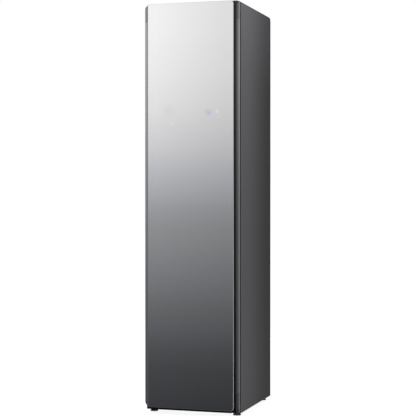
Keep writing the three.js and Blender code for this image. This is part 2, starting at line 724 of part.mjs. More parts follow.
// Side wall with two moulded pegs that the shelf rests on
function chamberWall(side) {
  const [near, far] = [chamberHalf, chamberOuter];
  const place = (a, b) => (side > 0 ? [a, b] : [-b, -a]);
  const wall = box(...place(near, far), chamberFrontY, chamberBackY,
    chamberBottom - wallThickness, chamberTop);
  const pegs = [shelfFrontY + pegFrontInset, shelfRearY - pegRearInset].map((y) => {
    const profile = outline([
      [y - pegLength / 2, pegTop - pegHeight / 2], [y - pegLength / 4, pegTop - pegHeight],
      [y + pegLength / 4, pegTop - pegHeight], [y + pegLength / 2, pegTop - pegHeight / 2],
      [y + pegLength / 2, pegTop], [y - pegLength / 2, pegTop],
    ]);
    return prismX(profile, ...place(near - pegReach, near + wallThickness / 2));
  });
  return join(wall, ...pegs);
}
piece(chamber, 'chamber_left_wall', chamberWall(-1), 'whitePlastic');
piece(chamber, 'chamber_right_wall', chamberWall(1), 'whitePlastic');

// Blower sizes that the duct and the outlet slots follow
const blowerX = 50;
const blowerDrop = 129; // chamber floor to the wheel's axis
const blowerZ = chamberBottom - blowerDrop;
const scrollStart = 60; // radius at the tongue
const scrollEnd = 84; // radius where the outlet begins
const tongueTurn = (110 / 180) * Math.PI;
const ductWall = 2.5;
const ductDepth = 36;
const ductFrontY = chamberBackY + seatGap;
const ductRearY = ductFrontY + ductDepth;
const ductLeftX = blowerX - scrollEnd;
const ductRightX = blowerX + scrollStart * Math.cos(tongueTurn);
const ductDrop = 21; // chamber floor to the lower end of the duct
const ductFromTop = 180; // chamber ceiling to the upper end of the duct
const ductBottom = chamberBottom - ductDrop;
const ductTop = chamberTop - ductFromTop;
const outletSlot = 6;
const outletPitch = 13;
const outletRows = 8;
const outletFromTop = 120; // upper end of the duct to the lowest slot
const outletBottom = ductTop - outletFromTop;
const outletMargin = 4;

// Rear wall with the air outlet slots in front of the duct
function chamberRearWall() {
  const half = chamberHalf - seatGap;
  const sheet = rectangle(-half, half, chamberBottom + seatGap, chamberTop);
  const [u0, u1] = [ductLeftX + ductWall + outletMargin, ductRightX - ductWall - outletMargin];
  const slots = Array.from({ length: outletRows }, (_, row) => {
    const low = outletBottom + row * outletPitch;
    return rectangle(u0, u1, low, low + outletSlot);
  });
  return punched(prismY, sheet, chamberRearY, chamberBackY, slots);
}
piece(chamber, 'chamber_rear_wall', chamberRearWall(), 'whitePlastic');

const nozzleSideInset = 57.5; // chamber walls to the middle of the nozzle
const nozzleRearInset = 115;
const nozzlePlace = [chamberHalf - nozzleSideInset, chamberRearY - nozzleRearInset];
const nozzleSpigot = 10;
const nozzleFlange = 18;
const nozzleClearance = 0.5;
const nozzleHole = nozzleSpigot + nozzleClearance;
const filterHalfWidth = 60;
const filterLength = 60;
const filterSideInset = 27.5; // chamber walls to the opening of the filter
const filterFrontInset = 34.7;
const filterX = -chamberHalf + filterSideInset + filterHalfWidth;
const filterFrontY = chamberFrontY + filterFrontInset;
const filterRearY = filterFrontY + filterLength;
const filterRim = 4;
const filterGap = 0.6;
const filterDepth = 22;
const filterWall = 2;

function chamberFloor() {
  const sheet = rectangle(-chamberHalf + seatGap, chamberHalf - seatGap, chamberFrontY, chamberBackY);
  return punched(prismZ, sheet, chamberBottom - wallThickness, chamberBottom, [
    disc(nozzleHole, roundSides, ...nozzlePlace),
    rectangle(filterX - filterHalfWidth, filterX + filterHalfWidth, filterFrontY, filterRearY),
  ]);
}
piece(chamber, 'chamber_floor', chamberFloor(), 'whitePlastic');

// Moving hanger sizes that the ceiling follows
const shakeReach = 15; // travel to each side
const barSideGap = 37.5; // chamber wall to the end of the hanger bar
const barHalfLength = chamberHalf - barSideGap;
const stemInset = 70; // end of the bar to a stem
const stemX = barHalfLength - stemInset;
const stemRadius = 7;
const stemSlotGap = 1.5;
const rodRadius = 5;
const rodY = 45;
const rodRise = 27; // rod axis above the ceiling
const rodHole = 5.4;
const postInset = 17.5;
const postX = chamberHalf - postInset;
const postHalf = 8;
const postTopAbove = 11;
const ceilingBottom = chamberTop + seatGap;
const ceilingTop = ceilingBottom + wallThickness;
const rodZ = ceilingTop + rodRise;

// Ceiling with a slot for each hanger stem and four posts that hold the guide rods
function chamberCeiling() {
  const slotHalf = stemRadius + stemSlotGap;
  const slots = [-1, 1].map((side) => roundedRect(side * stemX - slotHalf - shakeReach,
    side * stemX + slotHalf + shakeReach, -slotHalf, slotHalf, slotHalf - seatGap));
  const sheet = punched(prismZ, rectangle(-chamberOuter, chamberOuter, chamberFrontY, chamberBackY),
    ceilingBottom, ceilingTop, slots);
  const posts = [-1, 1].flatMap((i) => [-1, 1].map((j) => box(i * postX - postHalf, i * postX + postHalf,
    j * rodY - postHalf, j * rodY + postHalf, ceilingTop - wallThickness / 2, rodZ + postTopAbove)));
  const bores = [-1, 1].map((j) => prismX(disc(rodHole, coarseSides, j * rodY, rodZ),
    -postX - postHalf - overrun, postX + postHalf + overrun));
  return cut(join(sheet, ...posts), ...bores);
}
piece(chamber, 'chamber_ceiling', chamberCeiling(), 'whitePlastic');

const rodLength = 2 * (postX + postHalf);
for (const [name, side] of [['front_guide_rod', -1], ['rear_guide_rod', 1]]) {
  piece(topModule, name, prismX(disc(rodRadius, coarseSides), -rodLength / 2, rodLength / 2),
    'zincSteel', 0, side * rodY, rodZ);
}

const foamRearGap = 6.5;
const foamSideY = rearY - foamRearGap;
const foamBackDepth = 15;
const foamBottom = chamberBottom + wallThickness;

// One U of foam: a slab down each side of the chamber and one behind the air duct
function chamberFoam() {
  const [inner, outer] = [chamberOuter + seatGap, innerHalfWidth];
  const slab = outline([
    [-outer, chamberFrontY], [-inner, chamberFrontY], [-inner, foamSideY - foamBackDepth],
    [inner, foamSideY - foamBackDepth], [inner, chamberFrontY], [outer, chamberFrontY],
    [outer, foamSideY], [-outer, foamSideY],
  ]);
  return prismZ(slab, foamBottom, chamberTop - wallThickness);
}
piece(chamber, 'chamber_insulation', chamberFoam(), 'foam');

// Moving hanger: bar with three hook seats, two stems through the ceiling, carriage on the guide rods
const barHalfDepth = 9;
const barDrop = 60; // chamber ceiling to the underside of the bar
const barThickness = 17;
const barBottom = chamberTop - barDrop;
const barTop = barBottom + barThickness;
const barCorner = 5;
const seatEndMargin = 55;
const seatPitch = barHalfLength - seatEndMargin;
const seatHalfWidth = 9;
const seatDepth = 7;
const carriageMargin = 22;
const carriageHalfX = stemX + carriageMargin;
const carriageHalfY = 58;
const carriageLift = 9; // underside of the carriage above the ceiling
const carriageThickness = 6;
const lugHalfX = 15;
const lugHalfY = 10;
const lugInset = 8;
const lugX = stemX - lugInset;
const slidingHole = 5.7;
const crankY = 128;
const crankPinRadius = 4;
const crankRadius = 22;
const crankThickness = 6;
const yokeHalf = 15;
const yokeSlotHalf = 5.5;
const yokeSlotEnd = 8;
const yokePinGap = 1;
const carriageBottom = ceilingTop + carriageLift;
const carriageTop = carriageBottom + carriageThickness;

function hangerBar() {
  const bar = prismX(roundedRect(-barHalfDepth, barHalfDepth, barBottom, barTop, barCorner),
    -barHalfLength, barHalfLength);
  const seats = [-1, 0, 1].map((i) => prismY(outline([
    [i * seatPitch - seatHalfWidth, barTop + overrun], [i * seatPitch - seatHalfWidth, barTop],
    [i * seatPitch, barTop - seatDepth], [i * seatPitch + seatHalfWidth, barTop],
    [i * seatPitch + seatHalfWidth, barTop + overrun],
  ]), -barHalfDepth - overrun, barHalfDepth + overrun));
  const stems = [-1, 1].map((i) => prismZ(disc(stemRadius, coarseSides, i * stemX),
    (barBottom + barTop) / 2, carriageBottom + carriageThickness / 2));
  const plate = box(-carriageHalfX, carriageHalfX, -carriageHalfY, carriageHalfY,
    carriageBottom, carriageTop);
  const yokeRear = crankY + shakeReach + 2 * yokeSlotEnd;
  const yoke = box(-yokeHalf, yokeHalf, carriageHalfY - overrun, yokeRear, carriageBottom, carriageTop);
  const yokeSlot = box(-yokeSlotHalf, yokeSlotHalf, crankY - shakeReach - yokeSlotEnd,
    crankY + shakeReach + yokeSlotEnd, carriageBottom - overrun, carriageTop + overrun);
  const lugs = [-1, 1].flatMap((i) => [-1, 1].map((j) => box(i * lugX - lugHalfX, i * lugX + lugHalfX,
    j * rodY - lugHalfY, j * rodY + lugHalfY, carriageTop - carriageThickness / 2, rodZ + lugHalfY)));
  const bores = [-1, 1].map((j) => prismX(disc(slidingHole, coarseSides, j * rodY, rodZ),
    -carriageHalfX - overrun, carriageHalfX + overrun));
  return cut(join(cut(bar, ...seats), ...stems, plate, yoke, ...lugs), yokeSlot, ...bores);
}
piece(topModule, 'moving_hanger', hangerBar(), 'satinGrey');

const crankPinReach = 7; // pin below the disc
const crankDiscBottom = carriageTop + yokePinGap + crankPinReach;
const crankShaftRadius = 4;
const crankShaftLength = 8;
const crankTop = crankDiscBottom + crankThickness + crankShaftLength;

// Crank: disc with an eccentric pin that drives the yoke of the carriage from side to side
function shakerCrank() {
  return join(
    prismZ(disc(crankRadius, roundSides), crankDiscBottom, crankDiscBottom + crankThickness),
    prismZ(disc(crankPinRadius, coarseSides, 0, -shakeReach), crankDiscBottom - crankPinReach,
      crankDiscBottom + crankThickness / 2),
    prismZ(disc(crankShaftRadius, coarseSides), crankDiscBottom + crankThickness / 2, crankTop));
}
piece(topModule, 'shaker_crank', shakerCrank(), 'zincSteel', 0, crankY, 0);

const motorRadius = 34;
const motorHeight = 52;
const motorPlateHalf = 46;
const motorPlateThickness = 4;
const motorLegHalf = 17;
const motorLegThickness = 4;
const motorBottom = crankTop + seatGap;

// Motor on a folded bridge that stands on the ceiling
function shakerMotor() {
  const motorTop = motorBottom + motorHeight;
  const can = revolve([
    [0, motorBottom], [motorRadius, motorBottom], [motorRadius, motorTop - motorPlateThickness],
    [motorRadius - motorPlateThickness, motorTop], [0, motorTop],
  ]);
  const plate = box(-motorPlateHalf, motorPlateHalf, -motorLegHalf, motorLegHalf,
    motorBottom, motorBottom + motorPlateThickness);
  const legs = [-1, 1].map((i) => {
    const [x0, x1] = [i * motorPlateHalf, i * (motorPlateHalf - motorLegThickness)].sort((a, b) => a - b);
    return box(x0, x1, -motorLegHalf, motorLegHalf, ceilingTop + seatGap, motorBottom + motorPlateThickness);
  });
  return join(can, plate, ...legs);
}
piece(topModule, 'shaker_motor', shakerMotor(), 'zincSteel', 0, crankY, 0);

const controlSideGap = 8.5; // chamber side, motor bracket, rod posts and rear wall to the case
const controlMotorGap = 16;
const controlFrontGap = 43;
const controlRearGap = 14;
const controlLeft = -chamberOuter + controlSideGap;
const controlRight = -motorPlateHalf - controlMotorGap;
const controlFront = rodY + postHalf + controlFrontGap;
const controlRear = chamberBackY - controlRearGap;
const controlHeight = 62;
const controlCorner = 6;
const controlLip = 4;
const controlVent = 4;
const controlVentMargin = 22;
const controlVentRows = 7;

// Case of the main circuit board, with a stepped lid and vent slots
function controlCase() {
  const base = ceilingTop + seatGap;
  const top = base + controlHeight;
  const plan = (inset) => roundedRect(controlLeft + inset, controlRight - inset,
    controlFront + inset, controlRear - inset, controlCorner);
  const caseBody = prismZ(plan(0), base, top);
  const lid = prismZ(plan(controlLip), top - controlLip, top + controlLip);
  const ventSpan = controlRear - controlFront - 2 * controlVentMargin - controlVent;
  const slots = Array.from({ length: controlVentRows }, (_, i) => {
    const y = controlFront + controlVentMargin + (i * ventSpan) / (controlVentRows - 1);
    return box(controlLeft + controlVentMargin, controlRight - controlVentMargin, y, y + controlVent,
      top, top + controlLip + overrun);
  });
  return cut(join(caseBody, lid), ...slots);
}
piece(topModule, 'control_box', controlCase(), 'darkGrey');

const lampHalf = 62;
const lampFrontInset = 18.7;
const lampFrontY = chamberFrontY + lampFrontInset;
const lampDepth = 22;
const lampHeight = 8;
const lampCorner = 4;
piece(chamber, 'chamber_lamp', prismX(
  roundedRect(lampFrontY, lampFrontY + lampDepth, chamberTop - lampHeight, chamberTop, lampCorner - seatGap),
  -lampHalf, lampHalf), 'clearBlue');

const shelfSideGap = 3;
const shelfRim = 12;
const shelfWeb = 5;
const shelfSlot = 16;
const shelfSlotEnd = 33; // ends of the shelf to the middle of the first and last slot
const shelfSlotRows = 11;
const shelfCorner = 20;
const shelfLap = 18;

// Lift-out shelf: slotted deck inside a raised rim
function liftOutShelf() {
  const half = chamberHalf - shelfSideGap;
  const bottom = pegTop + seatGap;
  const slab = prismZ(roundedRect(-half, half, shelfFrontY, shelfRearY, shelfCorner),
    bottom, bottom + shelfThickness);
  const hollow = prismZ(roundedRect(-half + shelfRim, half - shelfRim, shelfFrontY + shelfRim,
    shelfRearY - shelfRim, shelfCorner - shelfRim), bottom + shelfWeb, bottom + shelfThickness + overrun);
  const slotSpan = shelfRearY - shelfFrontY - 2 * shelfSlotEnd;
  const slots = Array.from({ length: shelfSlotRows }, (_, i) => {
    const y = shelfFrontY + shelfSlotEnd + (i * slotSpan) / (shelfSlotRows - 1);
    return box(-half + shelfRim + shelfLap, half - shelfRim - shelfLap, y - shelfSlot / 2, y + shelfSlot / 2,
      bottom - overrun, bottom + shelfWeb + overrun);
  });
  return cut(slab, hollow, ...slots);
}
piece(chamber, 'lift_out_shelf', liftOutShelf(), 'whitePlastic');

// Steam nozzle: spigot through the floor, round cap with a jet hole
function steamNozzle() {
  const flangeBottom = chamberBottom + seatGap;
  const flangeThickness = wallThickness;
  const flangeTop = flangeBottom + flangeThickness;
  const spigotBottom = chamberBottom - 2 * nozzleSpigot;
  const bore = nozzleSpigot - flangeThickness;
  const domeTop = flangeBottom + nozzleSpigot + flangeThickness;
  const body = revolve([
    [0, spigotBottom], [nozzleSpigot, spigotBottom], [nozzleSpigot, flangeBottom],
    [nozzleFlange, flangeBottom], [nozzleFlange, flangeBottom + flangeThickness / 2],
    [nozzleFlange - flangeThickness, flangeTop], [nozzleSpigot, flangeTop],
    [nozzleSpigot, domeTop - flangeThickness], [bore, domeTop], [0, domeTop],
  ]);
  return cut(body,
    prismZ(disc(bore, coarseSides), spigotBottom - overrun, domeTop - flangeThickness),
    prismZ(disc(bore / 2, coarseSides), spigotBottom, domeTop + overrun));
}
piece(chamber, 'steam_nozzle', steamNozzle(), 'zincSteel', ...nozzlePlace, 0);

const filterSlots = 9;
const filterHandleHalf = 16;
const filterHandleHeight = 10;
const filterHandleThickness = 4;

// Lint filter: rimmed basket with a slotted bottom and a finger tab
function lintFilter() {
  const [x0, x1] = [filterX - filterHalfWidth, filterX + filterHalfWidth];
  const rimBottom = chamberBottom + seatGap;
  const rimTop = rimBottom + filterWall;
  const bottom = rimBottom - filterDepth;
  const [in0, in1] = [x0 + filterGap, x1 - filterGap];
  const [f0, f1] = [filterFrontY + filterGap, filterRearY - filterGap];
  const rim = box(x0 - filterRim, x1 + filterRim, filterFrontY - filterRim, filterRearY + filterRim,
    rimBottom, rimTop);
  const basket = box(in0, in1, f0, f1, bottom, rimTop);
  const hollow = box(in0 + filterWall, in1 - filterWall, f0 + filterWall, f1 - filterWall,
    bottom + filterWall, rimTop + overrun);
  const pitch = (2 * filterHalfWidth) / (filterSlots + 1);
  const slots = Array.from({ length: filterSlots }, (_, i) => {
    const x = x0 + (i + 1) * pitch;
    return box(x - pitch / 4, x + pitch / 4, f0 + filterRim, f1 - filterRim,
      bottom - overrun, bottom + overrun);
  });
  const middleY = (filterFrontY + filterRearY) / 2;
  const tab = box(filterX - filterHandleHalf, filterX + filterHandleHalf,
    middleY - filterHandleThickness / 2, middleY + filterHandleThickness / 2,
    bottom + filterWall / 2, rimTop + filterHandleHeight);
  return join(cut(join(rim, basket), hollow, ...slots), tab);
}
piece(chamber, 'lint_filter', lintFilter(), 'darkGrey');

const cartridgeSideInset = 82.5; // chamber walls to the cartridge
const cartridgeFrontInset = 16.7;
const cartridgeX = chamberHalf - cartridgeSideInset;
const cartridgeFrontY = chamberFrontY + cartridgeFrontInset;
const cartridgeDepth = 62;
const cartridgeHalf = 42;
const cartridgeHeight = 24;
const cartridgeCorner = 8;
const cartridgeVent = 5;
const cartridgeVents = 6;
const cartridgeGrip = 12;

// Scent cartridge that lifts out of the chamber, with a finger scoop across its front
function scentCartridge() {
  const [x0, x1] = [cartridgeX - cartridgeHalf, cartridgeX + cartridgeHalf];
  const [y0, y1] = [cartridgeFrontY, cartridgeFrontY + cartridgeDepth];
  const bottom = chamberBottom + seatGap;
  const top = bottom + cartridgeHeight;
  const body = prismZ(roundedRect(x0, x1, y0, y1, cartridgeCorner), bottom, top);
  const pitch = (x1 - x0) / (cartridgeVents + 1);
  const vents = Array.from({ length: cartridgeVents }, (_, i) => {
    const x = x0 + (i + 1) * pitch;
    return box(x - cartridgeVent / 2, x + cartridgeVent / 2, y0 + cartridgeGrip, y1 - cartridgeGrip,
      top - cartridgeVent, top + overrun);
  });
  const grip = prismX(disc(cartridgeGrip, coarseSides, y0 - cartridgeVent, (bottom + top) / 2),
    cartridgeX - cartridgeHalf / 2, cartridgeX + cartridgeHalf / 2);
  return cut(body, ...vents, grip);
}
piece(chamber, 'scent_cartridge', scentCartridge(), 'whitePlastic');

// Rear air duct: channel on the back of the rear wall, open at the bottom and behind the outlet slots
function rearDuct() {
  const shell = box(ductLeftX, ductRightX, ductFrontY, ductRearY, ductBottom, ductTop);
  const inside = box(ductLeftX + ductWall, ductRightX - ductWall,
    ductFrontY + ductWall, ductRearY - ductWall,
    ductBottom - overrun, ductTop - ductWall);
  const window = box(ductLeftX + ductWall, ductRightX - ductWall,
    ductFrontY - overrun, ductFrontY + 2 * ductWall,
    outletBottom - outletMargin, ductTop - ductWall);
  return cut(shell, inside, window);
}
piece(machineRoom, 'rear_air_duct', rearDuct(), 'whitePlastic');

// Scroll of a centrifugal blower: its radius grows clockwise from the tongue to the outlet
function scrollOutline(inset) {
  const points = [];
  const turns = 20;
  for (let i = 0; i <= turns; i += 1) {
    const turn = tongueTurn - (i / turns) * (tongueTurn + Math.PI);
    const radius = scrollStart + (i / turns) * (scrollEnd - scrollStart) - inset;
    points.push([blowerX + radius * Math.cos(turn), blowerZ + radius * Math.sin(turn)]);
  }
  const outletTop = inset > 0 ? ductBottom + overrun : ductBottom - seatGap;
  points.push([ductLeftX + inset, outletTop], [ductRightX - inset, outletTop]);
  points.push([ductRightX - inset, blowerZ + scrollStart * Math.sin(tongueTurn)]);
  return outline(points.reverse());
}

const scrollWall = 2.5;
const inletRadius = 40;
const shaftHole = 7;
const blowerStandHalf = 24;
const blowerStandThickness = 4;

function blowerHousing() {
  const scroll = prismY(scrollOutline(0), ductFrontY, ductRearY);
  const inside = prismY(scrollOutline(scrollWall), ductFrontY + scrollWall, ductRearY - scrollWall);
  const inlet = prismY(disc(inletRadius, roundSides, blowerX, blowerZ), ductFrontY - overrun,
    ductFrontY + 2 * scrollWall);
  const shaft = prismY(disc(shaftHole, coarseSides, blowerX, blowerZ), ductRearY - 2 * scrollWall,
    ductRearY + overrun);
  const stands = [-1, 1].map((i) => {
    const x = blowerX + i * blowerStandHalf;
    return box(x - blowerStandThickness / 2, x + blowerStandThickness / 2, ductFrontY, ductRearY,
      trayFloor + seatGap, blowerZ);
  });
  return cut(join(scroll, ...stands), inside, inlet, shaft);
}
piece(machineRoom, 'blower_housing', blowerHousing(), 'darkGrey');

const wheelRadius = 50;
const bladeCount = 18;
const bladeDepth = 9;
const bladeThickness = 1.6;
const bladeLean = 0.6; // radians forward of the radius
const wheelFrontY = ductFrontY + 2 * scrollWall;
const wheelRearY = ductRearY - 2 * scrollWall;
const hubThickness = 2.5;
const hubCone = 16;
const wheelShaftRadius = 5;

// Squirrel-cage wheel: leaning blades between a hub plate and an end ring, about its own axis
function blowerWheel() {
  const inner = wheelRadius - bladeDepth;
  const hub = prismY(disc(wheelRadius, fineSides), wheelRearY - hubThickness, wheelRearY);
  const ring = disc(wheelRadius, fineSides);
  ring.holes.push(disc(inner, fineSides));
  const endRing = prismY(ring, wheelFrontY, wheelFrontY + hubThickness);
  const blades = Array.from({ length: bladeCount }, (_, i) => new THREE.BoxGeometry(
    bladeDepth - 2 * seatGap, wheelRearY - wheelFrontY - hubThickness, bladeThickness)
    .rotateY(bladeLean)
    .translate((wheelRadius + inner) / 2, (wheelFrontY + wheelRearY) / 2, 0)
    .rotateY((2 * Math.PI * i) / bladeCount));
  const cone = prismY(disc(hubCone, coarseSides), wheelFrontY + hubCone, wheelRearY - hubThickness / 2);
  const shaft = prismY(disc(wheelShaftRadius, coarseSides), wheelRearY - hubThickness, ductRearY);
  return join(hub, endRing, ...blades, cone, shaft);
}
piece(machineRoom, 'blower_wheel', blowerWheel(), 'darkGrey', blowerX, 0, blowerZ);

const blowerMotorRadius = 32;
const blowerMotorDepth = 20;
const motorEar = 44;
const motorEarHalf = 8;
const motorEarThickness = 3;

function blowerMotor() {
  const can = prismY(disc(blowerMotorRadius), ductRearY + seatGap, ductRearY + seatGap + blowerMotorDepth);
  const ears = [0, 1].map((i) => new THREE.BoxGeometry(2 * motorEar, motorEarThickness, 2 * motorEarHalf)
    .rotateY((i * Math.PI) / 2)
    .translate(0, ductRearY + seatGap + motorEarThickness / 2, 0));
  return join(can, ...ears);
}
piece(machineRoom, 'blower_motor', blowerMotor(), 'zincSteel', blowerX, 0, blowerZ);

const coilSideGap = 29.5; // chamber side to the end of the fins
const coilDrop = 23; // chamber floor to the top of the fins
const coilHeight = 120;
const coilDepth = 50;
const coilPitch = 66; // evaporator to condenser
const coilFromNozzle = 102; // steam nozzle to the front of the condenser
const coilHalf = chamberHalf - coilSideGap;
const coilTop = chamberBottom - coilDrop;
const coilBottom = coilTop - coilHeight;
const condenserFrontY = nozzlePlace[1] - coilFromNozzle;
const evaporatorFrontY = condenserFrontY - coilPitch;
const coilFins = 13;
const finThickness = 4; // drawn coarser than the real leaves
const coilCore = 16;
const tubeRows = 3;
const tubeRadius = 4;
const tubeOut = 5;

// Heat exchanger: upright fins on a core, with the tube bends standing out at both ends
function finnedCoil(frontY) {
  const middle = frontY + coilDepth / 2;
  const core = box(-coilHalf, coilHalf, middle - coilCore / 2, middle + coilCore / 2, coilBottom, coilTop);
  const pitch = (2 * coilHalf - finThickness) / (coilFins - 1);
  const fins = Array.from({ length: coilFins }, (_, i) => {
    const x = -coilHalf + i * pitch;
    return box(x, x + finThickness, frontY, frontY + coilDepth, coilBottom, coilTop);
  });
  const rise = (coilTop - coilBottom) / (tubeRows + 1);
  const tubes = Array.from({ length: tubeRows }, (_, i) => prismX(
    disc(tubeRadius, coarseSides, middle, coilBottom + (i + 1) * rise),
    -coilHalf - tubeOut, coilHalf + tubeOut));
  return join(core, ...fins, ...tubes);
}
piece(machineRoom, 'evaporator', finnedCoil(evaporatorFrontY), 'aluminium');
piece(machineRoom, 'condenser', finnedCoil(condenserFrontY), 'aluminium');

const dripSideLap = 14;
const dripEndLap = 6;
const dripHalf = coilHalf + dripSideLap;
const dripFrontY = evaporatorFrontY - dripEndLap;
const dripRearY = condenserFrontY + coilDepth + dripEndLap;
const dripHeight = 20;
const dripFloor = 6;
const dripWall = 3;
const dripLeg = 12;
const dripTop = coilBottom + dripHeight - dripFloor;

// Drip tray on four legs, which carries both coils
function dripTray() {
  const bottom = coilBottom - seatGap - dripFloor;
  const tray = box(-dripHalf, dripHalf, dripFrontY, dripRearY, bottom, dripTop);
  const hollow = box(-dripHalf + dripWall, dripHalf - dripWall, dripFrontY + dripWall, dripRearY - dripWall,
    coilBottom - seatGap, dripTop + overrun);
  const legs = [-1, 1].flatMap((i) => [dripFrontY, dripRearY - dripLeg].map((y) => {
    const x = i > 0 ? dripHalf - dripLeg : -dripHalf;
    return box(x, x + dripLeg, y, y + dripLeg, trayFloor + seatGap, bottom + dripFloor / 2);
  }));
  return join(cut(tray, hollow), ...legs);
}
piece(machineRoom, 'drip_tray', dripTray(), 'darkGrey');

const compressorSideInset = 89; // side and chamber rear to the compressor's axis
const compressorRearInset = 40;
const compressorPlace = [-innerHalfWidth + compressorSideInset, chamberRearY - compressorRearInset];
const compressorRadius = 60;
const compressorHeight = 188;
const compressorBase = 68;
const compressorDome = 22;
const compressorNeck = 6;
const accumulatorRadius = 20;
const accumulatorHeight = 120;
const accumulatorGap = 6;
const accumulatorReach = compressorRadius + accumulatorRadius + accumulatorGap;
const accumulatorTurn = -0.35 * Math.PI; // towards the front right
const domeShares = [[0.86, 0.45], [0.5, 0.1]]; // of the can's radius and of the dome's height
const bottleFootShare = 0.6;
const bottleNeckShare = 0.5;

// Hermetic compressor with its accumulator bottle strapped beside it
function compressor() {
  const base = trayFloor + seatGap;
  const top = base + compressorHeight;
  const can = revolve([
    [0, base], [compressorBase, base], [compressorBase, base + compressorNeck / 2],
    [compressorRadius - compressorNeck, base + compressorNeck],
    [compressorRadius, base + 2 * compressorNeck], [compressorRadius, top - compressorDome],
    ...domeShares.map(([across, down]) => [compressorRadius * across, top - compressorDome * down]),
    [0, top],
  ], roundSides);
  const [ax, ay] = [Math.cos(accumulatorTurn), Math.sin(accumulatorTurn)].map((n) => n * accumulatorReach);
  const bottle = revolve([
    [0, base + compressorNeck], [accumulatorRadius * bottleFootShare, base + compressorNeck],
    [accumulatorRadius, base + 3 * compressorNeck], [accumulatorRadius, base + accumulatorHeight],
    [accumulatorRadius * bottleNeckShare, base + accumulatorHeight + 2 * compressorNeck],
    [0, base + accumulatorHeight + 2 * compressorNeck],
  ], coarseSides).translate(ax, ay, 0);
  const strap = new THREE.BoxGeometry(accumulatorReach, accumulatorRadius / 2, accumulatorRadius)
    .rotateZ(accumulatorTurn)
    .translate(ax / 2, ay / 2, base + accumulatorHeight / 2);
  return join(can, bottle, strap);
}
piece(machineRoom, 'compressor', compressor(), 'blackTrim', ...compressorPlace, 0);

const pipeRadius = 5;
const pipeSteps = 26;
const pipeSideGap = 24;
const pipeSide = -dripHalf - pipeSideGap;
const compressorTop = trayFloor + seatGap + compressorHeight;
const condenserMiddleY = condenserFrontY + coilDepth / 2;
const pipeInZ = (coilBottom + coilTop) / 2;

// Discharge line from the top of the compressor to the side of the condenser
function refrigerantPipe() {
  const [cx, cy] = compressorPlace;
  const riseZ = compressorTop + 3 * compressorDome;
  const coilSide = -coilHalf - tubeOut - seatGap;
  return tubeAlong([
    [cx, cy, compressorTop + seatGap], [cx, cy, compressorTop + compressorDome],
    [cx - compressorDome, cy, riseZ], [pipeSide, cy - compressorRadius, riseZ],
    [pipeSide, condenserMiddleY + compressorRadius / 2, pipeInZ],
    [pipeSide + pipeRadius, condenserMiddleY, pipeInZ], [coilSide, condenserMiddleY, pipeInZ],
  ], pipeRadius, pipeSteps, coarseSides - 2);
}
piece(machineRoom, 'refrigerant_pipe', refrigerantPipe(), 'copper');

const boilerLeftReach = 38; // steam nozzle's axis to each side of the generator
const boilerRightReach = 72;
const boilerFrontReach = 30;
const boilerRearReach = 66;
const boilerHeight = 92;
const boilerCorner = 16;
const boilerSeam = 4;
const boilerSeamHeight = 5;
const boilerPort = 9;
const boilerPortHeight = 12;

// Steam generator: two cast halves with a clamped seam and an outlet port on top
function steamGenerator() {
  const base = trayFloor + seatGap;
  const top = base + boilerHeight;
  const middle = (base + top) / 2;
  const [px, py] = nozzlePlace;
  const plan = (proud) => roundedRect(px - boilerLeftReach - proud, px + boilerRightReach + proud,
    py - boilerFrontReach - proud, py + boilerRearReach + proud, boilerCorner + proud);
  return join(
    prismZ(plan(0), base, top),
    prismZ(plan(boilerSeam), middle, middle + boilerSeamHeight),
    prismZ(disc(boilerPort, coarseSides, px, py), top - boilerSeam, top + boilerPortHeight));
}
piece(machineRoom, 'steam_generator', steamGenerator(), 'aluminium');

const hoseRadius = 8;
const hoseSteps = 16;
const hoseSway = 14;
const hoseEndShare = 0.12; // of the rise, at both ends
const hoseBendShares = [0.4, 0.6];

// Steam hose from the generator's port up to the nozzle's spigot
function steamHose() {
  const [px, py] = nozzlePlace;
  const start = trayFloor + seatGap + boilerHeight + boilerPortHeight + seatGap;
  const end = chamberBottom - 2 * nozzleSpigot - seatGap;
  const rise = end - start;
  return tubeAlong([
    [px, py, start], [px, py, start + rise * hoseEndShare],
    ...hoseBendShares.map((share) => [px + hoseSway, py + hoseSway, start + rise * share]),
    [px, py, end - rise * hoseEndShare], [px, py, end],
  ], hoseRadius, hoseSteps, coarseSides - 2);
}
piece(machineRoom, 'steam_hose', steamHose(), 'rubberBlack');

const pumpRadius = 22;
const pumpLength = 58;
const pumpFoot = 30;
const pumpFootHeight = 14;
const pumpPort = 5;
const pumpPortHeight = 18;
const pumpNoseShare = 0.6; // of the pump's radius
const pumpSideInset = 84; // end and front of the coils to a pump
const pumpFrontInset = 30;
const pumpX = dripHalf - pumpSideInset;
const pumpY = evaporatorFrontY + pumpFrontInset;

// Small pump on a saddle foot, with an upright port
function waterPump() {
  const axisZ = trayFloor + seatGap + pumpFootHeight + pumpRadius;
  return join(
    prismY(disc(pumpRadius, roundSides, 0, axisZ), 0, pumpLength),
    prismY(disc(pumpRadius * pumpNoseShare, coarseSides, 0, axisZ), -pumpPort, pumpPort),
    box(-pumpFoot, pumpFoot, pumpPort, pumpLength - pumpPort, trayFloor + seatGap,
      trayFloor + seatGap + pumpFootHeight / 2),
    box(-pumpFoot / 2, pumpFoot / 2, pumpPort, pumpLength - pumpPort, trayFloor + seatGap, axisZ),
    prismZ(disc(pumpPort, coarseSides, 0, pumpLength / 2), axisZ, axisZ + pumpRadius + pumpPortHeight));
}
piece(machineRoom, 'steam_water_pump', waterPump(), 'darkGrey', pumpX, pumpY, 0);
piece(machineRoom, 'drain_pump', waterPump(), 'darkGrey', -pumpX, pumpY, 0);

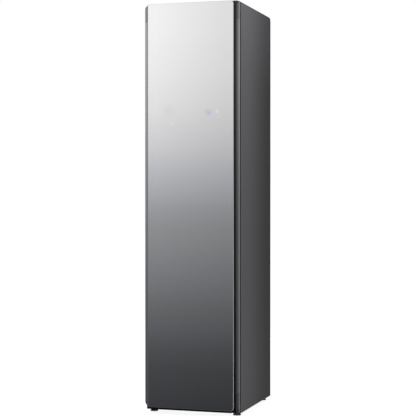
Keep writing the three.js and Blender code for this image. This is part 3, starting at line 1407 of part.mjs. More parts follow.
// Tank bay: open-fronted housing in the lower mouth of the front frame, with a divider
const bayWall = 3;
const bayCoilGap = 16;
const bayRearY = evaporatorFrontY - bayCoilGap;
const bayDivider = 3;
const bayOuterHalf = bayMouthHalf - seatGap;
const bayLegHalf = 10;
const bayLegSide = 25.5;
const bayLegX = bayOuterHalf - bayLegSide;
const bayLegInset = 24;
const bayBottom = bayMouthBottom + seatGap;
const bayTop = bayMouthTop - seatGap;
const bayFloor = bayBottom + bayWall;

function tankBayHousing() {
  const shell = prismY(roundedRect(-bayOuterHalf, bayOuterHalf, bayBottom, bayTop, bayCornerRadius),
    bodyFrontY, bayRearY);
  const cells = [-1, 1].map((i) => {
    const [x0, x1] = [i * (bayDivider / 2), i * (bayOuterHalf - bayWall)].sort((a, b) => a - b);
    return box(x0, x1, bodyFrontY - overrun, bayRearY - bayWall, bayFloor, bayTop - bayWall);
  });
  const legs = [-1, 1].map((i) => box(i * bayLegX - bayLegHalf, i * bayLegX + bayLegHalf,
    trayFrontY + bayLegInset, bayRearY - bayLegInset, trayFloor + seatGap, bayFloor - bayWall / 2));
  return join(cut(shell, ...cells), ...legs);
}
piece(tankBay, 'tank_bay_housing', tankBayHousing(), 'darkGrey');

const lidThickness = 9;
const lidRidge = 5;
const lidRidgeGap = 0.5;
const fillCapRadius = 18;
const fillCapHeight = 7;
const fillCapSides = 16;
const tankSetback = 7; // front of the tanks behind the front of the body
const tankSideGap = 3.5; // room round a tank in its cell of the bay
const tankRearGap = 7;
const tankTopGap = 10.8;
const tankWall = 2.5;
const tankCorner = 12;
const [cellInner, cellOuter] = [bayDivider / 2, bayOuterHalf - bayWall];
const tankX = (cellInner + cellOuter) / 2;
const tankHalf = (cellOuter - cellInner) / 2 - tankSideGap;
const tankFrontY = bodyFrontY + tankSetback;
const tankDepth = bayRearY - bayWall - tankRearGap - tankFrontY;
const tankBottom = bayFloor + seatGap;
const lidTop = bayTop - bayWall - tankTopGap - fillCapHeight;
const tankHeight = lidTop - lidThickness - seatGap - tankBottom;
const gripHalf = 34;
const gripHeight = 46;
const gripTopMargin = 40;
const gripBottom = tankHeight - gripTopMargin - gripHeight;
const gripDepth = 20;
const gripCorner = 12;

// Tub with a finger grip moulded into its front wall
function tankTub() {
  const grip = (inset, reach) => prismY(roundedRect(-gripHalf - inset, gripHalf + inset,
    gripBottom - inset, gripBottom + gripHeight + inset, gripCorner + inset), -overrun, gripDepth + reach);
  const tub = prismZ(roundedRect(-tankHalf, tankHalf, 0, tankDepth, tankCorner), 0, tankHeight);
  const inner = roundedRect(-tankHalf + tankWall, tankHalf - tankWall, tankWall, tankDepth - tankWall,
    tankCorner - tankWall);
  const hollow = prismZ(inner, tankWall, tankHeight + overrun);
  return cut(tub, grip(0, 0), cut(hollow, grip(tankWall, tankWall)));
}

// Lid with a ridge that plugs into the tub and a round fill cap
function tankLid() {
  const bottom = tankHeight + seatGap;
  const top = bottom + lidThickness;
  const lip = tankWall + lidRidgeGap;
  const plate = prismZ(roundedRect(-tankHalf, tankHalf, 0, tankDepth, tankCorner), bottom, top);
  const ridge = roundedRect(-tankHalf + lip, tankHalf - lip, lip, tankDepth - lip, tankCorner - lip);
  const inner = lip + tankWall;
  ridge.holes.push(roundedRect(-tankHalf + inner, tankHalf - inner, inner, tankDepth - inner,
    tankCorner - inner));
  return join(plate,
    prismZ(ridge, bottom - lidRidge, bottom + lidThickness / 2),
    prismZ(disc(fillCapRadius, fillCapSides, 0, tankDepth / 2), bottom, top + fillCapHeight));
}
for (const [name, side, finish] of [['drain_tank', -1, 'darkGrey'], ['supply_tank', 1, 'clearBlue']]) {
  piece(tankBay, name, tankTub(), finish, side * tankX, tankFrontY, tankBottom);
  piece(tankBay, `${name}_lid`, tankLid(), 'darkGrey', side * tankX, tankFrontY, tankBottom);
}

export default cabinet;
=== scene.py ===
import json
import math

import bmesh
import bpy
import numpy as np
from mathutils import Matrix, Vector


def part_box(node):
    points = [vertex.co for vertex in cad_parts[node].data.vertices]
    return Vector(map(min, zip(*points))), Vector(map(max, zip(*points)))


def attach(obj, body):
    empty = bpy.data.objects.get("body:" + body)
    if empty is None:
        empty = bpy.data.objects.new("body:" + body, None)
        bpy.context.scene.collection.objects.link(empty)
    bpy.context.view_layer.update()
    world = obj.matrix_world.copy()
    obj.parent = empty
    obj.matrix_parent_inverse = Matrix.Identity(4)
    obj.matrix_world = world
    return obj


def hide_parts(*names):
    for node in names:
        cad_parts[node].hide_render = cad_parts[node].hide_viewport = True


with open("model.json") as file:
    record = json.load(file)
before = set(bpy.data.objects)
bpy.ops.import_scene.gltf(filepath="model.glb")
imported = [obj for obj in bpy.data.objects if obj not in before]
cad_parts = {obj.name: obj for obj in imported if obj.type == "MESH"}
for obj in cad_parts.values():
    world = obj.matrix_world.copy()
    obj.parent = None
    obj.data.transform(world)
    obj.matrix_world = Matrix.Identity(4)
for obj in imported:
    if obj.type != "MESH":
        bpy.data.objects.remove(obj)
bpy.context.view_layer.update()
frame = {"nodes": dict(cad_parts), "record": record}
cadNodes = frame["nodes"]
bodyOf = {node: body for body, members in frame["record"]["behaviour"]["bodies"].items() for node in members}
mm = 0.001
mergeReach = 0.002 * mm  # corners closer than this are one
print("frame loaded:", len(cadNodes), "nodes")


def cornersOf(node):
    # Lowest and highest corner of a CAD node, in millimetres
    low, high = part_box(node)
    return np.array(low) / mm, np.array(high) / mm


# Camera, fitted to the corners of the cabinet

cameraSetup = {"place": (1.7367, -5.6037, 0.9726), "turn": 17.27, "down": 0.4335, "lens": 108.066,
               "sightEnd": 60}

cameraData = bpy.data.cameras.new("camera")
cameraData.lens = cameraSetup["lens"]
cameraData.clip_end = cameraSetup["sightEnd"]
camera = bpy.data.objects.new("camera", cameraData)
camera.location = cameraSetup["place"]
camera.rotation_euler = (math.radians(90 - cameraSetup["down"]), 0, math.radians(cameraSetup["turn"]))
bpy.context.scene.collection.objects.link(camera)
bpy.context.scene.camera = camera
bpy.context.scene.view_settings.view_transform = "Standard"


# Shapes: every shell is (points, blocks of faces with the same number of corners), in millimetres

def roundedLoop(corners, steps):
    # Outline through corner points (u, v, radius), counterclockwise. Each corner is an arc about its own
    # centre, so the outline drawn in by d is points - d * normals
    table = np.array(corners, float)
    place, radius = table[:, :2], table[:, 2]
    back, ahead = np.roll(place, 1, axis=0) - place, np.roll(place, -1, axis=0) - place
    back /= np.linalg.norm(back, axis=1)[:, None]
    ahead /= np.linalg.norm(ahead, axis=1)[:, None]
    middle = back + ahead
    middle /= np.linalg.norm(middle, axis=1)[:, None]
    half = np.arccos(np.clip((back * ahead).sum(axis=1), -1, 1)) / 2
    centre = place + middle * (radius / np.sin(half))[:, None]
    start = np.arctan2(back[:, 0], -back[:, 1])
    turn = start[:, None] + np.linspace(0, 1, steps + 1) * (math.pi - 2 * half)[:, None]
    normals = np.stack([np.cos(turn), np.sin(turn)], axis=-1)
    points = centre[:, None] + radius[:, None, None] * normals
    return points.reshape(-1, 2), normals.reshape(-1, 2)


def rectLoop(u0, u1, v0, v1, radii, steps):
    # Rounded rectangle, with a radius for each corner in turn from (u0, v0)
    corners = [(u0, v0), (u1, v0), (u1, v1), (u0, v1)]
    return roundedLoop([(u, v, radius) for (u, v), radius in zip(corners, radii)], steps)


def along(axis, flat, height):
    # Rings of flat points (u, v) set at their heights along x, y or z
    high = np.broadcast_to(np.asarray(height, float)[:, None], flat.shape[:2])
    u, v = flat[..., 0], flat[..., 1]
    order = {"x": (high, u, v), "y": (u, high, v), "z": (u, v, high)}[axis]
    return np.stack(order, axis=-1)


def softEdge(low, high, radius, steps):
    # Profile (drawn in, height) of a plate whose two rims are quarter circles
    turn = np.linspace(0, math.pi / 2, steps + 1)
    drawn, rise = radius * (1 - np.sin(turn)), radius * (1 - np.cos(turn))
    lower, upper = np.stack([drawn, low + rise], axis=-1), np.stack([drawn, high - rise], axis=-1)
    return np.concatenate([lower, upper[::-1]])


def loftShell(rings, wrapped=False):
    # Surface through rings of equal point count, closed by a face on each end ring; wrapped joins the last
    # ring to the first
    count, around = rings.shape[:2]
    index = np.arange(count * around).reshape(count, around)
    ahead = np.roll(index, -1, axis=1)
    following = np.roll(index, -1, axis=0) if wrapped else index[1:]
    followingAhead = np.roll(ahead, -1, axis=0) if wrapped else ahead[1:]
    rows = len(following)
    blocks = [np.stack([index[:rows], ahead[:rows], followingAhead, following], axis=-1).reshape(-1, 4)]
    if not wrapped:
        blocks += [index[:1, ::-1], index[-1:]]
    return rings.reshape(-1, 3), blocks


def plateShell(loop, profile, axis, wrapped=False):
    # Outline carried along an axis, drawn in as the profile says
    points, normals = loop
    drawn, height = np.asarray(profile, float).T
    return loftShell(along(axis, points[None] - drawn[:, None, None] * normals[None], height), wrapped)


def turnedShell(profile, centre, axis, sides):
    # (radius, height) pairs turned about an axis through centre (u, v): u + r cos, v + r sin
    radius, height = np.asarray(profile, float).T
    turn = np.arange(sides) * 2 * math.pi / sides
    spokes = np.stack([np.cos(turn), np.sin(turn)], axis=-1)
    return loftShell(along(axis, np.array(centre) + radius[:, None, None] * spokes[None], height))


def mirrored(shell):
    # The shell's twin across the middle plane, with its faces turned round again
    points, blocks = shell
    return points * np.array([-1, 1, 1]), [block[:, ::-1] for block in blocks]


def linkPiece(name, mesh):
    # Smooth-shaded object at the origin
    mesh.shade_smooth()
    piece = bpy.data.objects.new(name, mesh)
    bpy.context.scene.collection.objects.link(piece)
    return piece


def evenNormals(piece):
    # Normals weighted by area, so that flat faces beside a rounding shade flat
    weighted = piece.modifiers.new("even normals", "WEIGHTED_NORMAL")
    weighted.keep_sharp = True
    return piece


def buildPiece(name, shells, sharpAngle=40):
    # One object from closed shells; edges that turn by more than sharpAngle degrees stay crisp
    corners, sizes, start = [], [], 0
    for points, blocks in shells:
        corners += [(block + start).ravel() for block in blocks]
        sizes += [np.full(len(block), block.shape[1]) for block in blocks]
        start += len(points)
    points, corners, sizes = (np.concatenate(part) for part in ([s[0] for s in shells], corners, sizes))
    mesh = bpy.data.meshes.new(name)
    mesh.vertices.add(len(points))
    mesh.vertices.foreach_set("co", (points * mm).astype(np.float32).ravel())
    mesh.loops.add(len(corners))
    mesh.loops.foreach_set("vertex_index", corners.astype(np.int32))
    mesh.polygons.add(len(sizes))
    mesh.polygons.foreach_set("loop_start", (np.cumsum(sizes) - sizes).astype(np.int32))
    mesh.update(calc_edges=True)
    mesh.validate()
    work = bmesh.new()
    work.from_mesh(mesh)
    bmesh.ops.remove_doubles(work, verts=work.verts, dist=mergeReach)
    bmesh.ops.recalc_face_normals(work, faces=work.faces)
    work.to_mesh(mesh)
    work.free()
    piece = linkPiece(name, mesh)
    mesh.set_sharp_from_angle(angle=math.radians(sharpAngle))
    return evenNormals(piece)


# Faces that turn by less than flatAngle degrees are joined, edges that turn by more than edgeAngle rounded
softening = {"flatAngle": 1, "edgeAngle": 30, "segments": 2}


def softenedCopy(node, name, width, setup):
    # Copy of a CAD node with its corners merged, flat faces joined and edges rounded
    mesh = bpy.data.meshes.new(name)
    work = bmesh.new()
    work.from_mesh(cadNodes[node].data)
    bmesh.ops.remove_doubles(work, verts=work.verts, dist=mergeReach)
    bmesh.ops.dissolve_limit(work, angle_limit=math.radians(setup["flatAngle"]), verts=work.verts,
                             edges=work.edges)
    work.to_mesh(mesh)
    work.free()
    piece = linkPiece(name, mesh)
    rounding = piece.modifiers.new("rounding", "BEVEL")
    rounding.width, rounding.segments = width * mm, setup["segments"]
    rounding.limit_method, rounding.angle_limit = "ANGLE", math.radians(setup["edgeAngle"])
    rounding.use_clamp_overlap = True
    return evenNormals(piece)


def dress(piece, material, node=None, body=None):
    # Finish a piece: its material, the body it rides on, and the CAD node it stands for, which is hidden
    piece.data.materials.clear()
    piece.data.materials.append(material)
    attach(piece, body or bodyOf[node])
    if node:
        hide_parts(node)
    return piece


# Finishes

def linearColor(text):
    # sRGB hex to linear light
    channel = np.array([int(text[i:i + 2], 16) for i in (1, 3, 5)]) / 255
    light = np.where(channel <= 0.04045, channel / 12.92, ((channel + 0.055) / 1.055) ** 2.4)
    return (*light.tolist(), 1.0)


def addNode(tree, kind, settings=None, inputs=None, stops=()):
    # One node, its settings, a value or another node's output for each input, and its colour stops. A Mix
    # node for colour is wired by number: 0 is the factor, 6 and 7 are the colours, and output 2 the result
    node = tree.nodes.new(kind)
    for key, value in (settings or {}).items():
        setattr(node, key, value)
    for i, (place, text) in enumerate(stops):
        elements = node.color_ramp.elements
        element = elements[i] if i < len(elements) else elements.new(place)
        element.position, element.color = place, linearColor(text)
    for key, value in (inputs or {}).items():
        if isinstance(value, bpy.types.NodeSocket):
            tree.links.new(value, node.inputs[key])
        else:
            node.inputs[key].default_value = value
    return node


def startMaterial(name, inputs):
    # Principled material with constant inputs on its own sockets
    material = bpy.data.materials.new(name)
    material.use_nodes = True
    tree = material.node_tree
    tree.nodes.clear()
    shader = addNode(tree, "ShaderNodeBsdfPrincipled", None, inputs)
    addNode(tree, "ShaderNodeOutputMaterial", None, {"Surface": shader.outputs[0]})
    coords = addNode(tree, "ShaderNodeTexCoord").outputs["Object"]
    return material, tree, shader, coords


def noiseField(tree, coords, size, detail=2.0):
    # Noise whose grains are that long, in millimetres: one length or one for each direction
    lengths = np.broadcast_to(np.array(size, float), 3) * mm
    scaled = addNode(tree, "ShaderNodeMapping", None, {"Vector": coords, "Scale": tuple(1 / lengths)})
    noise = addNode(tree, "ShaderNodeTexNoise", None,
                    {"Vector": scaled.outputs["Vector"], "Scale": 1.0, "Detail": detail})
    return noise.outputs["Fac"]


def colorDrift(tree, coords, size, stops):
    # Colour that wanders between its stops
    field = noiseField(tree, coords, size, detail=3.0)
    return addNode(tree, "ShaderNodeValToRGB", None, {"Fac": field}, stops).outputs["Color"]


def numberDrift(tree, coords, size, low, high):
    # Number that wanders between low and high
    field = noiseField(tree, coords, size)
    return addNode(tree, "ShaderNodeMapRange", None,
                   {"Value": field, "To Min": low, "To Max": high}).outputs["Result"]


def layeredRelief(tree, coords, layers):
    # Fine relief, one layer over the other; each is (grain size, strength, depth), sizes in millimetres
    normal = None
    for size, strength, depth in layers:
        inputs = {"Height": noiseField(tree, coords, size), "Strength": strength, "Distance": depth * mm}
        if normal is not None:
            inputs["Normal"] = normal
        normal = addNode(tree, "ShaderNodeBump", None, inputs).outputs["Normal"]
    return normal


def spanShare(tree, coords, axis, span, curve="LINEAR"):
    # Share of the way between two places on an axis of the object, in millimetres, from 0 to 1
    place = addNode(tree, "ShaderNodeSeparateXYZ", None, {"Vector": coords})
    return addNode(tree, "ShaderNodeMapRange", {"interpolation_type": curve}, {
        "Value": place.outputs[axis], "From Min": span[0] * mm, "From Max": span[1] * mm}).outputs["Result"]


def finishMaterial(name, finish):
    # Material from one of the dictionaries below: colour drift, roughness drift and relief
    material, tree, shader, coords = startMaterial(name, finish["shader"])
    color = colorDrift(tree, coords, finish["driftSize"], finish["colors"])
    roughness = numberDrift(tree, coords, finish["driftSize"], *finish["roughness"])
    tree.links.new(color, shader.inputs["Base Color"])
    tree.links.new(roughness, shader.inputs["Roughness"])
    tree.links.new(layeredRelief(tree, coords, finish["relief"]), shader.inputs["Normal"])
    return material


# Powder-painted steel sheet: dark charcoal, matt, with a faint upright hairline under a slight orange peel
paintCoat = {
    "shader": {"Metallic": 0.0, "IOR": 1.5, "Specular IOR Level": 0.05},
    "driftSize": (3, 3, 160), "roughness": (0.52, 0.60),
    "relief": [((1.2, 1.2, 60), 0.10, 0.03), (0.9, 0.06, 0.02)],
}

finishes = {
    "charcoalPaintedSteel": {**paintCoat, "colors": [(0.3, "#454547"), (0.7, "#4c4c4e")]},
    # Galvanised sheet: pale grey with a cloudy spangle
    "zincCoatedSteel": {
        "shader": {"Metallic": 0.9},
        "driftSize": 14, "colors": [(0.35, "#9b9ea1"), (0.65, "#b9bcbe")],
        "roughness": (0.32, 0.46), "relief": [(6, 0.10, 0.03)],
    },
    # Stove enamel on the compressor: black, glossy, slightly wavy
    "blackEnamelledSteel": {
        "shader": {"Metallic": 0.0, "IOR": 1.55, "Coat Weight": 0.4, "Coat Roughness": 0.12},
        "driftSize": 30, "colors": [(0.3, "#141416"), (0.7, "#1b1b1e")],
        "roughness": (0.22, 0.30), "relief": [(9, 0.12, 0.05)],
    },
    # Gloss ABS behind the glass: deep black
    "blackMoulding": {
        "shader": {"Metallic": 0.0, "IOR": 1.53},
        "driftSize": 40, "colors": [(0.3, "#0f0f11"), (0.7, "#151517")],
        "roughness": (0.28, 0.36), "relief": [(1.4, 0.05, 0.02)],
    },
    # Textured ABS: dark grey with the fine spark-eroded grain of the mould
    "darkGreyMoulding": {
        "shader": {"Metallic": 0.0, "IOR": 1.53},
        "driftSize": 60, "colors": [(0.3, "#39393c"), (0.7, "#404043")],
        "roughness": (0.46, 0.56), "relief": [(1.1, 0.14, 0.06)],
    },
    # Vacuum-formed liner plastic: soft white, satin, hardly any grain
    "whiteMoulding": {
        "shader": {"Metallic": 0.0, "IOR": 1.5, "Subsurface Weight": 0.05, "Subsurface Scale": 0.002},
        "driftSize": 90, "colors": [(0.3, "#dcddde"), (0.7, "#e6e7e7")],
        "roughness": (0.34, 0.44), "relief": [(1.6, 0.05, 0.03)],
    },
    # Nitrile rubber: matt black with a talc bloom
    "blackRubber": {
        "shader": {"Metallic": 0.0, "IOR": 1.52},
        "driftSize": 12, "colors": [(0.3, "#2e2e30"), (0.7, "#3a3a3c")],
        "roughness": (0.72, 0.86), "relief": [(0.8, 0.20, 0.08)],
    },
    # Soft PVC of the door seal: mid grey, faintly waxy
    "greyRubber": {
        "shader": {"Metallic": 0.0, "IOR": 1.52},
        "driftSize": 25, "colors": [(0.3, "#4c4d50"), (0.7, "#56575a")],
        "roughness": (0.58, 0.70), "relief": [(1.0, 0.12, 0.05)],
    },
    # Rigid polyurethane foam: cream, pitted by its cells
    "insulationFoam": {
        "shader": {"Metallic": 0.0, "IOR": 1.4},
        "driftSize": 9, "colors": [(0.3, "#d9cda8"), (0.7, "#eae0c2")],
        "roughness": (0.90, 0.98), "relief": [(2.5, 0.5, 0.6)],
    },
    # Rolled aluminium leaves of the coils: bright, drawn lengthwise
    "coilAluminium": {
        "shader": {"Metallic": 1.0},
        "driftSize": (30, 4, 4), "colors": [(0.3, "#b3b6b8"), (0.7, "#cdd0d1")],
        "roughness": (0.30, 0.42), "relief": [((40, 1, 1), 0.10, 0.03)],
    },
    # Annealed copper pipe: warm, slightly tarnished
    "copperTube": {
        "shader": {"Metallic": 1.0},
        "driftSize": 16, "colors": [(0.3, "#a4623d"), (0.7, "#c07c52")],
        "roughness": (0.26, 0.40), "relief": [(2.0, 0.06, 0.03)],
    },
    # Solder resist on glass-fibre board: green lacquer over a fine weave
    "circuitBoard": {
        "shader": {"Metallic": 0.0, "IOR": 1.55},
        "driftSize": (2, 2, 2), "colors": [(0.4, "#23502f"), (0.6, "#2f6a3f")],
        "roughness": (0.30, 0.42), "relief": [(0.7, 0.10, 0.03)],
    },
}
materials = {name: finishMaterial(name, finish) for name, finish in finishes.items()}
print("plain finishes ready:", len(materials))


# Materials that need more than drift and grain

doorWidth, doorHeight = (-200, 200), (20, 1850)  # between these the tones of the door run, in x and z

mirrorGlass = {
    # painted reflection of the studio, in stops from the foot of the pane to its head
    "stops": [(0.00, "#38393d"), (0.05, "#3e3f42"), (0.10, "#444548"), (0.15, "#4f5053"), (0.20, "#5e5f63"),
              (0.25, "#6a6b6d"), (0.34, "#808186"), (0.44, "#949597"), (0.49, "#a1a2a6"), (0.54, "#b4b5b9"),
              (0.59, "#c4c5ca"), (0.64, "#d6d6d9"), (0.74, "#ececec"), (0.83, "#f7f7f7"), (0.93, "#fefefe"),
              (1.00, "#ffffff")],
    # painted light from the left: the mirror a little paler on that side
    "across": [(0.08, "#ffffff"), (0.50, "#f5f5f5"), (0.92, "#ebebeb")],  # a little paler on the left
    "height": (26, 1850),
    "shader": {"Metallic": 0.6, "Roughness": 0.05, "IOR": 1.5, "Specular IOR Level": 0.2},
    # soft lit areas of the touch display behind the pane: centre in x and z, reach, colour
    "glows": [(86, 1358, 30, "#cdcbea"), (90, 1352, 18, "#c7c4e6"), (128, 1359, 17, "#eeeef4"),
              (134, 1337, 17, "#dcdce0"), (-84, 1309, 20, "#e6e6ea"), (-98, 1366, 46, "#dfdfe7")],
}


def mirrorGlassMaterial(name, setup):
    # Mirror glass with a painted reflection: grey stops by height stand in for the studio seen in it, nearly
    # white at the top and deep grey at the foot, and painted light from the left makes it a little paler on
    # that side
    material, tree, shader, coords = startMaterial(name, setup["shader"])
    height = spanShare(tree, coords, "Z", setup["height"])
    width = spanShare(tree, coords, "X", doorWidth)
    paintedReflection = addNode(tree, "ShaderNodeValToRGB", None, {"Fac": height}, setup["stops"])
    across = addNode(tree, "ShaderNodeValToRGB", None, {"Fac": width}, setup["across"])
    paintedLightTone = addNode(tree, "ShaderNodeMix", {"data_type": "RGBA", "blend_type": "MULTIPLY"}, {
        0: 1.0, 6: paintedReflection.outputs["Color"], 7: across.outputs["Color"]})
    color = paintedLightTone.outputs[2]
    front = cornersOf("door_glass")[0][1]
    for x, z, reach, glow in setup["glows"]:
        centred = addNode(tree, "ShaderNodeMapping", {"vector_type": "TEXTURE"}, {
            "Vector": coords, "Location": (x * mm, front * mm, z * mm), "Scale": (reach * mm,) * 3})
        soft = addNode(tree, "ShaderNodeTexGradient", {"gradient_type": "QUADRATIC_SPHERE"}, {
            "Vector": centred.outputs["Vector"]})
        lit = addNode(tree, "ShaderNodeMix", {"data_type": "RGBA"}, {
            0: soft.outputs["Fac"], 6: color, 7: linearColor(glow)})
        color = lit.outputs[2]
    tree.links.new(color, shader.inputs["Base Color"])
    return material


# The same paint on the side panels, with painted light and shade: painted light at the front, painted shade
# darker towards the back and on the folds at the rims and in the gap beside the door, and painted light a
# little paler again near the rear top corner; each rim is (axis, (inner end, edge))
sidePaintAndShading = {
    "litFrontDrift": [(0.3, "#515053"), (0.7, "#58575a")], "shadedRearDrift": [(0.3, "#181819"), (0.7, "#1d1d1e")],
    "depth": (-243, 292.5),
    "litRearHead": "#2b2b2d", "litRearHeadSpan": (1440, 1740),
    # painted shade on the folds round the rims and on the front fold in the gap beside the door
    "rim": "#141415",
    "shadedRims": [("Z", (1844, 1850)), ("Z", (17, 12)), ("Y", (264, 288)), ("Y", (-239, -243))],
}


def sidePaintAndShadingMaterial(name, coat, setup):
    # Painted light at the front and painted shade towards the back, painted light lifting the rear head, then
    # painted shade darkening towards each rim
    material, tree, shader, coords = startMaterial(name, coat["shader"])
    front, rear = (colorDrift(tree, coords, coat["driftSize"], setup[key])
                   for key in ("litFrontDrift", "shadedRearDrift"))
    head = spanShare(tree, coords, "Z", setup["litRearHeadSpan"], "SMOOTHSTEP")
    rear = addNode(tree, "ShaderNodeMix", {"data_type": "RGBA"}, {
        0: head, 6: rear, 7: linearColor(setup["litRearHead"])}).outputs[2]
    depth = spanShare(tree, coords, "Y", setup["depth"], "SMOOTHSTEP")
    color = addNode(tree, "ShaderNodeMix", {"data_type": "RGBA"}, {0: depth, 6: front, 7: rear}).outputs[2]
    for axis, span in setup["shadedRims"]:
        color = addNode(tree, "ShaderNodeMix", {"data_type": "RGBA"}, {
            0: spanShare(tree, coords, axis, span), 6: color, 7: linearColor(setup["rim"])}).outputs[2]
    tree.links.new(color, shader.inputs["Base Color"])
    tree.links.new(numberDrift(tree, coords, coat["driftSize"], *coat["roughness"]), shader.inputs["Roughness"])
    tree.links.new(layeredRelief(tree, coords, coat["relief"]), shader.inputs["Normal"])
    return material


translucentPlastics = {
    # SAN moulding: clear, a little smoky, with slight flow waves
    "clearTankPlastic": {
        "shader": {"Base Color": linearColor("#dfe6ea"), "Transmission Weight": 0.85, "IOR": 1.45,
                   "Roughness": 0.08},
        "relief": [(22, 0.15, 0.2)]},
    # Opal acrylic: milky white with light prisms, lit from within
    "lampDiffuser": {
        "shader": {"Base Color": linearColor("#f1f1ee"), "Roughness": 0.35, "IOR": 1.49,
                   "Emission Color": linearColor("#fff8ea"), "Emission Strength": 8.0},
        "relief": [((3, 40, 3), 0.2, 0.2)]},
}


def translucentMaterial(name, setup):
    # One colour all through the moulding, and relief
    material, tree, shader, coords = startMaterial(name, setup["shader"])
    tree.links.new(layeredRelief(tree, coords, setup["relief"]), shader.inputs["Normal"])
    return material


# Anodised aluminium trims: a satin grey skin that hides most of the metal's shine, brushed upright. Like the
# mirror they carry a painted reflection that darkens towards the foot, and the free side is painted paler than
# the hinge side as painted light from the left. The moulded end caps are a shade darker than the strips. Stops
# run from the foot of the door to its head, on each of its sides
freeSidePaintedLight = [(0.0, "#424346"), (0.25, "#636467"), (0.5, "#898a8d"), (0.75, "#a8a9ac"), (1.0, "#b3b4b6")]
hingeSidePaintedLight = [(0.0, "#626367"), (0.2, "#68696d"), (0.52, "#6f7074"), (0.86, "#88898c"), (1.0, "#7d7e81")]
satinTrims = {
    "satinTrimLeft": {
        "left": freeSidePaintedLight, "right": freeSidePaintedLight,
        "metallic": 0.1, "specular": 0.12, "roughness": (0.42, 0.50)},
    "satinTrimRight": {
        "left": hingeSidePaintedLight, "right": hingeSidePaintedLight,
        "metallic": 0.1, "specular": 0.3, "roughness": (0.38, 0.46)},
    "satinCap": {
        # painted shade at the foot of the caps: the first stops darken the part below the pane, and on the
        # hinge side a band just above it
        "left": [(0.0, "#27282a"), (0.0034, "#27282a"), (0.005, "#353639"), (0.1, "#3b3c3f"),
                 (0.5, "#68696c"), (0.9, "#888a8d"), (1.0, "#909195")],
        "right": [(0.0, "#27282a"), (0.0034, "#27282a"), (0.005, "#2f3032"), (0.009, "#303133"),
                  (0.012, "#4d4e51"), (0.1, "#505154"), (0.5, "#646568"), (0.9, "#6c6d70"), (1.0, "#696a6d")],
        "metallic": 0.1, "specular": 0.3, "roughness": (0.34, 0.40)},
}
brushing = {"driftSize": (2, 2, 120), "relief": [((0.8, 0.8, 60), 0.08, 0.02)]}
# Painted highlight and painted shade on the strip that rounds the hinge side: dark at the door's face, white
# towards the gap beside the body, darker at the foot than at the head
hingeSidePaintedHighlight = {"span": (205, 222.5),
                 "foot": [(0.0, "#7c7c7c"), (0.5, "#8b8b8b"), (0.75, "#c5c5c5"), (1.0, "#ffffff")],
                 "head": [(0.0, "#9c9c9c"), (0.5, "#aeaeae"), (0.75, "#dddddd"), (1.0, "#ffffff")]}


def sidewaysPaintedLight(tree, coords, setup):
    # Painted light by height on each side of the door, mixed across its width
    height, across = spanShare(tree, coords, "Z", doorHeight), spanShare(tree, coords, "X", doorWidth)
    left, right = (addNode(tree, "ShaderNodeValToRGB", None, {"Fac": height}, setup[side])
                   for side in ("left", "right"))
    paintedSideTone = addNode(tree, "ShaderNodeMix", {"data_type": "RGBA"}, {
        0: across, 6: left.outputs["Color"], 7: right.outputs["Color"]})
    return paintedSideTone.outputs[2], across, height


def satinTrimMaterial(name, setup, brushing, hingeHighlight):
    # Painted light by height, a painted highlight round the hinge side, and a brushed relief that runs upright
    material, tree, shader, coords = startMaterial(name, {
        "Metallic": setup["metallic"], "IOR": 1.5, "Specular IOR Level": setup["specular"]})
    paintedSideTone, across, height = sidewaysPaintedLight(tree, coords, setup)
    highlightShare = spanShare(tree, coords, "X", hingeHighlight["span"])
    foot, head = (addNode(tree, "ShaderNodeValToRGB", None, {"Fac": highlightShare}, hingeHighlight[end])
                  for end in ("foot", "head"))
    paintedHighlight = addNode(tree, "ShaderNodeMix", {"data_type": "RGBA"}, {
        0: height, 6: foot.outputs["Color"], 7: head.outputs["Color"]})
    highlightedTone = addNode(tree, "ShaderNodeMix", {"data_type": "RGBA", "blend_type": "MULTIPLY"}, {
        0: across, 6: paintedSideTone, 7: paintedHighlight.outputs[2]})
    roughness = numberDrift(tree, coords, brushing["driftSize"], *setup["roughness"])
    tree.links.new(highlightedTone.outputs[2], shader.inputs["Base Color"])
    tree.links.new(roughness, shader.inputs["Roughness"])
    tree.links.new(layeredRelief(tree, coords, brushing["relief"]), shader.inputs["Normal"])
    return material


# Ground and polished glass edge with a soft shine and faint grinding marks. Its grey is painted light: a
# painted highlight paler on the hinge side than the free side, painted shade along the foot and a painted
# highlight along the head
polishedEdgePaintedLight = {
    # the first two stops are painted shade on the level edge at the foot of the pane, the last a painted
    # highlight on the level edge at its head
    "left": [(0.0, "#262629"), (0.006, "#262629"), (0.008, "#77787b"), (0.5, "#76777a"), (0.997, "#5c5d60"),
             (0.9985, "#e4e4e4")],
    "right": [(0.0, "#262629"), (0.006, "#262629"), (0.008, "#bbbcbf"), (0.5, "#b4b5b8"), (0.997, "#8e8f92"),
              (0.9985, "#dcdcdc")],
    "shader": {"Metallic": 0.2, "IOR": 1.5, "Specular IOR Level": 0.2, "Roughness": 0.25},
    "relief": [((0.5, 0.5, 6), 0.05, 0.01)],
}


def polishedEdgePaintedLightMaterial(name, setup):
    # Painted light by height and side, under the grinding marks
    material, tree, shader, coords = startMaterial(name, setup["shader"])
    paintedSideTone, _, _ = sidewaysPaintedLight(tree, coords, setup)
    tree.links.new(paintedSideTone, shader.inputs["Base Color"])
    tree.links.new(layeredRelief(tree, coords, setup["relief"]), shader.inputs["Normal"])
    return material


# Satin black ABS beside the pane, almost no shine, with painted light and shade: painted shade deep black at
# the foot, painted light a little greyer towards the head
satinBlackPaintedShading = {
    "stops": [(0.0, "#050506"), (0.044, "#0c0c0d"), (0.05, "#1a1a1b"), (0.2, "#252527"), (0.5, "#303032"),
              (0.86, "#454547"), (1.0, "#38383a")],
    "shader": {"Metallic": 0.0, "IOR": 1.53, "Specular IOR Level": 0.03, "Roughness": 0.4},
    "relief": [(1.4, 0.05, 0.02)],
}


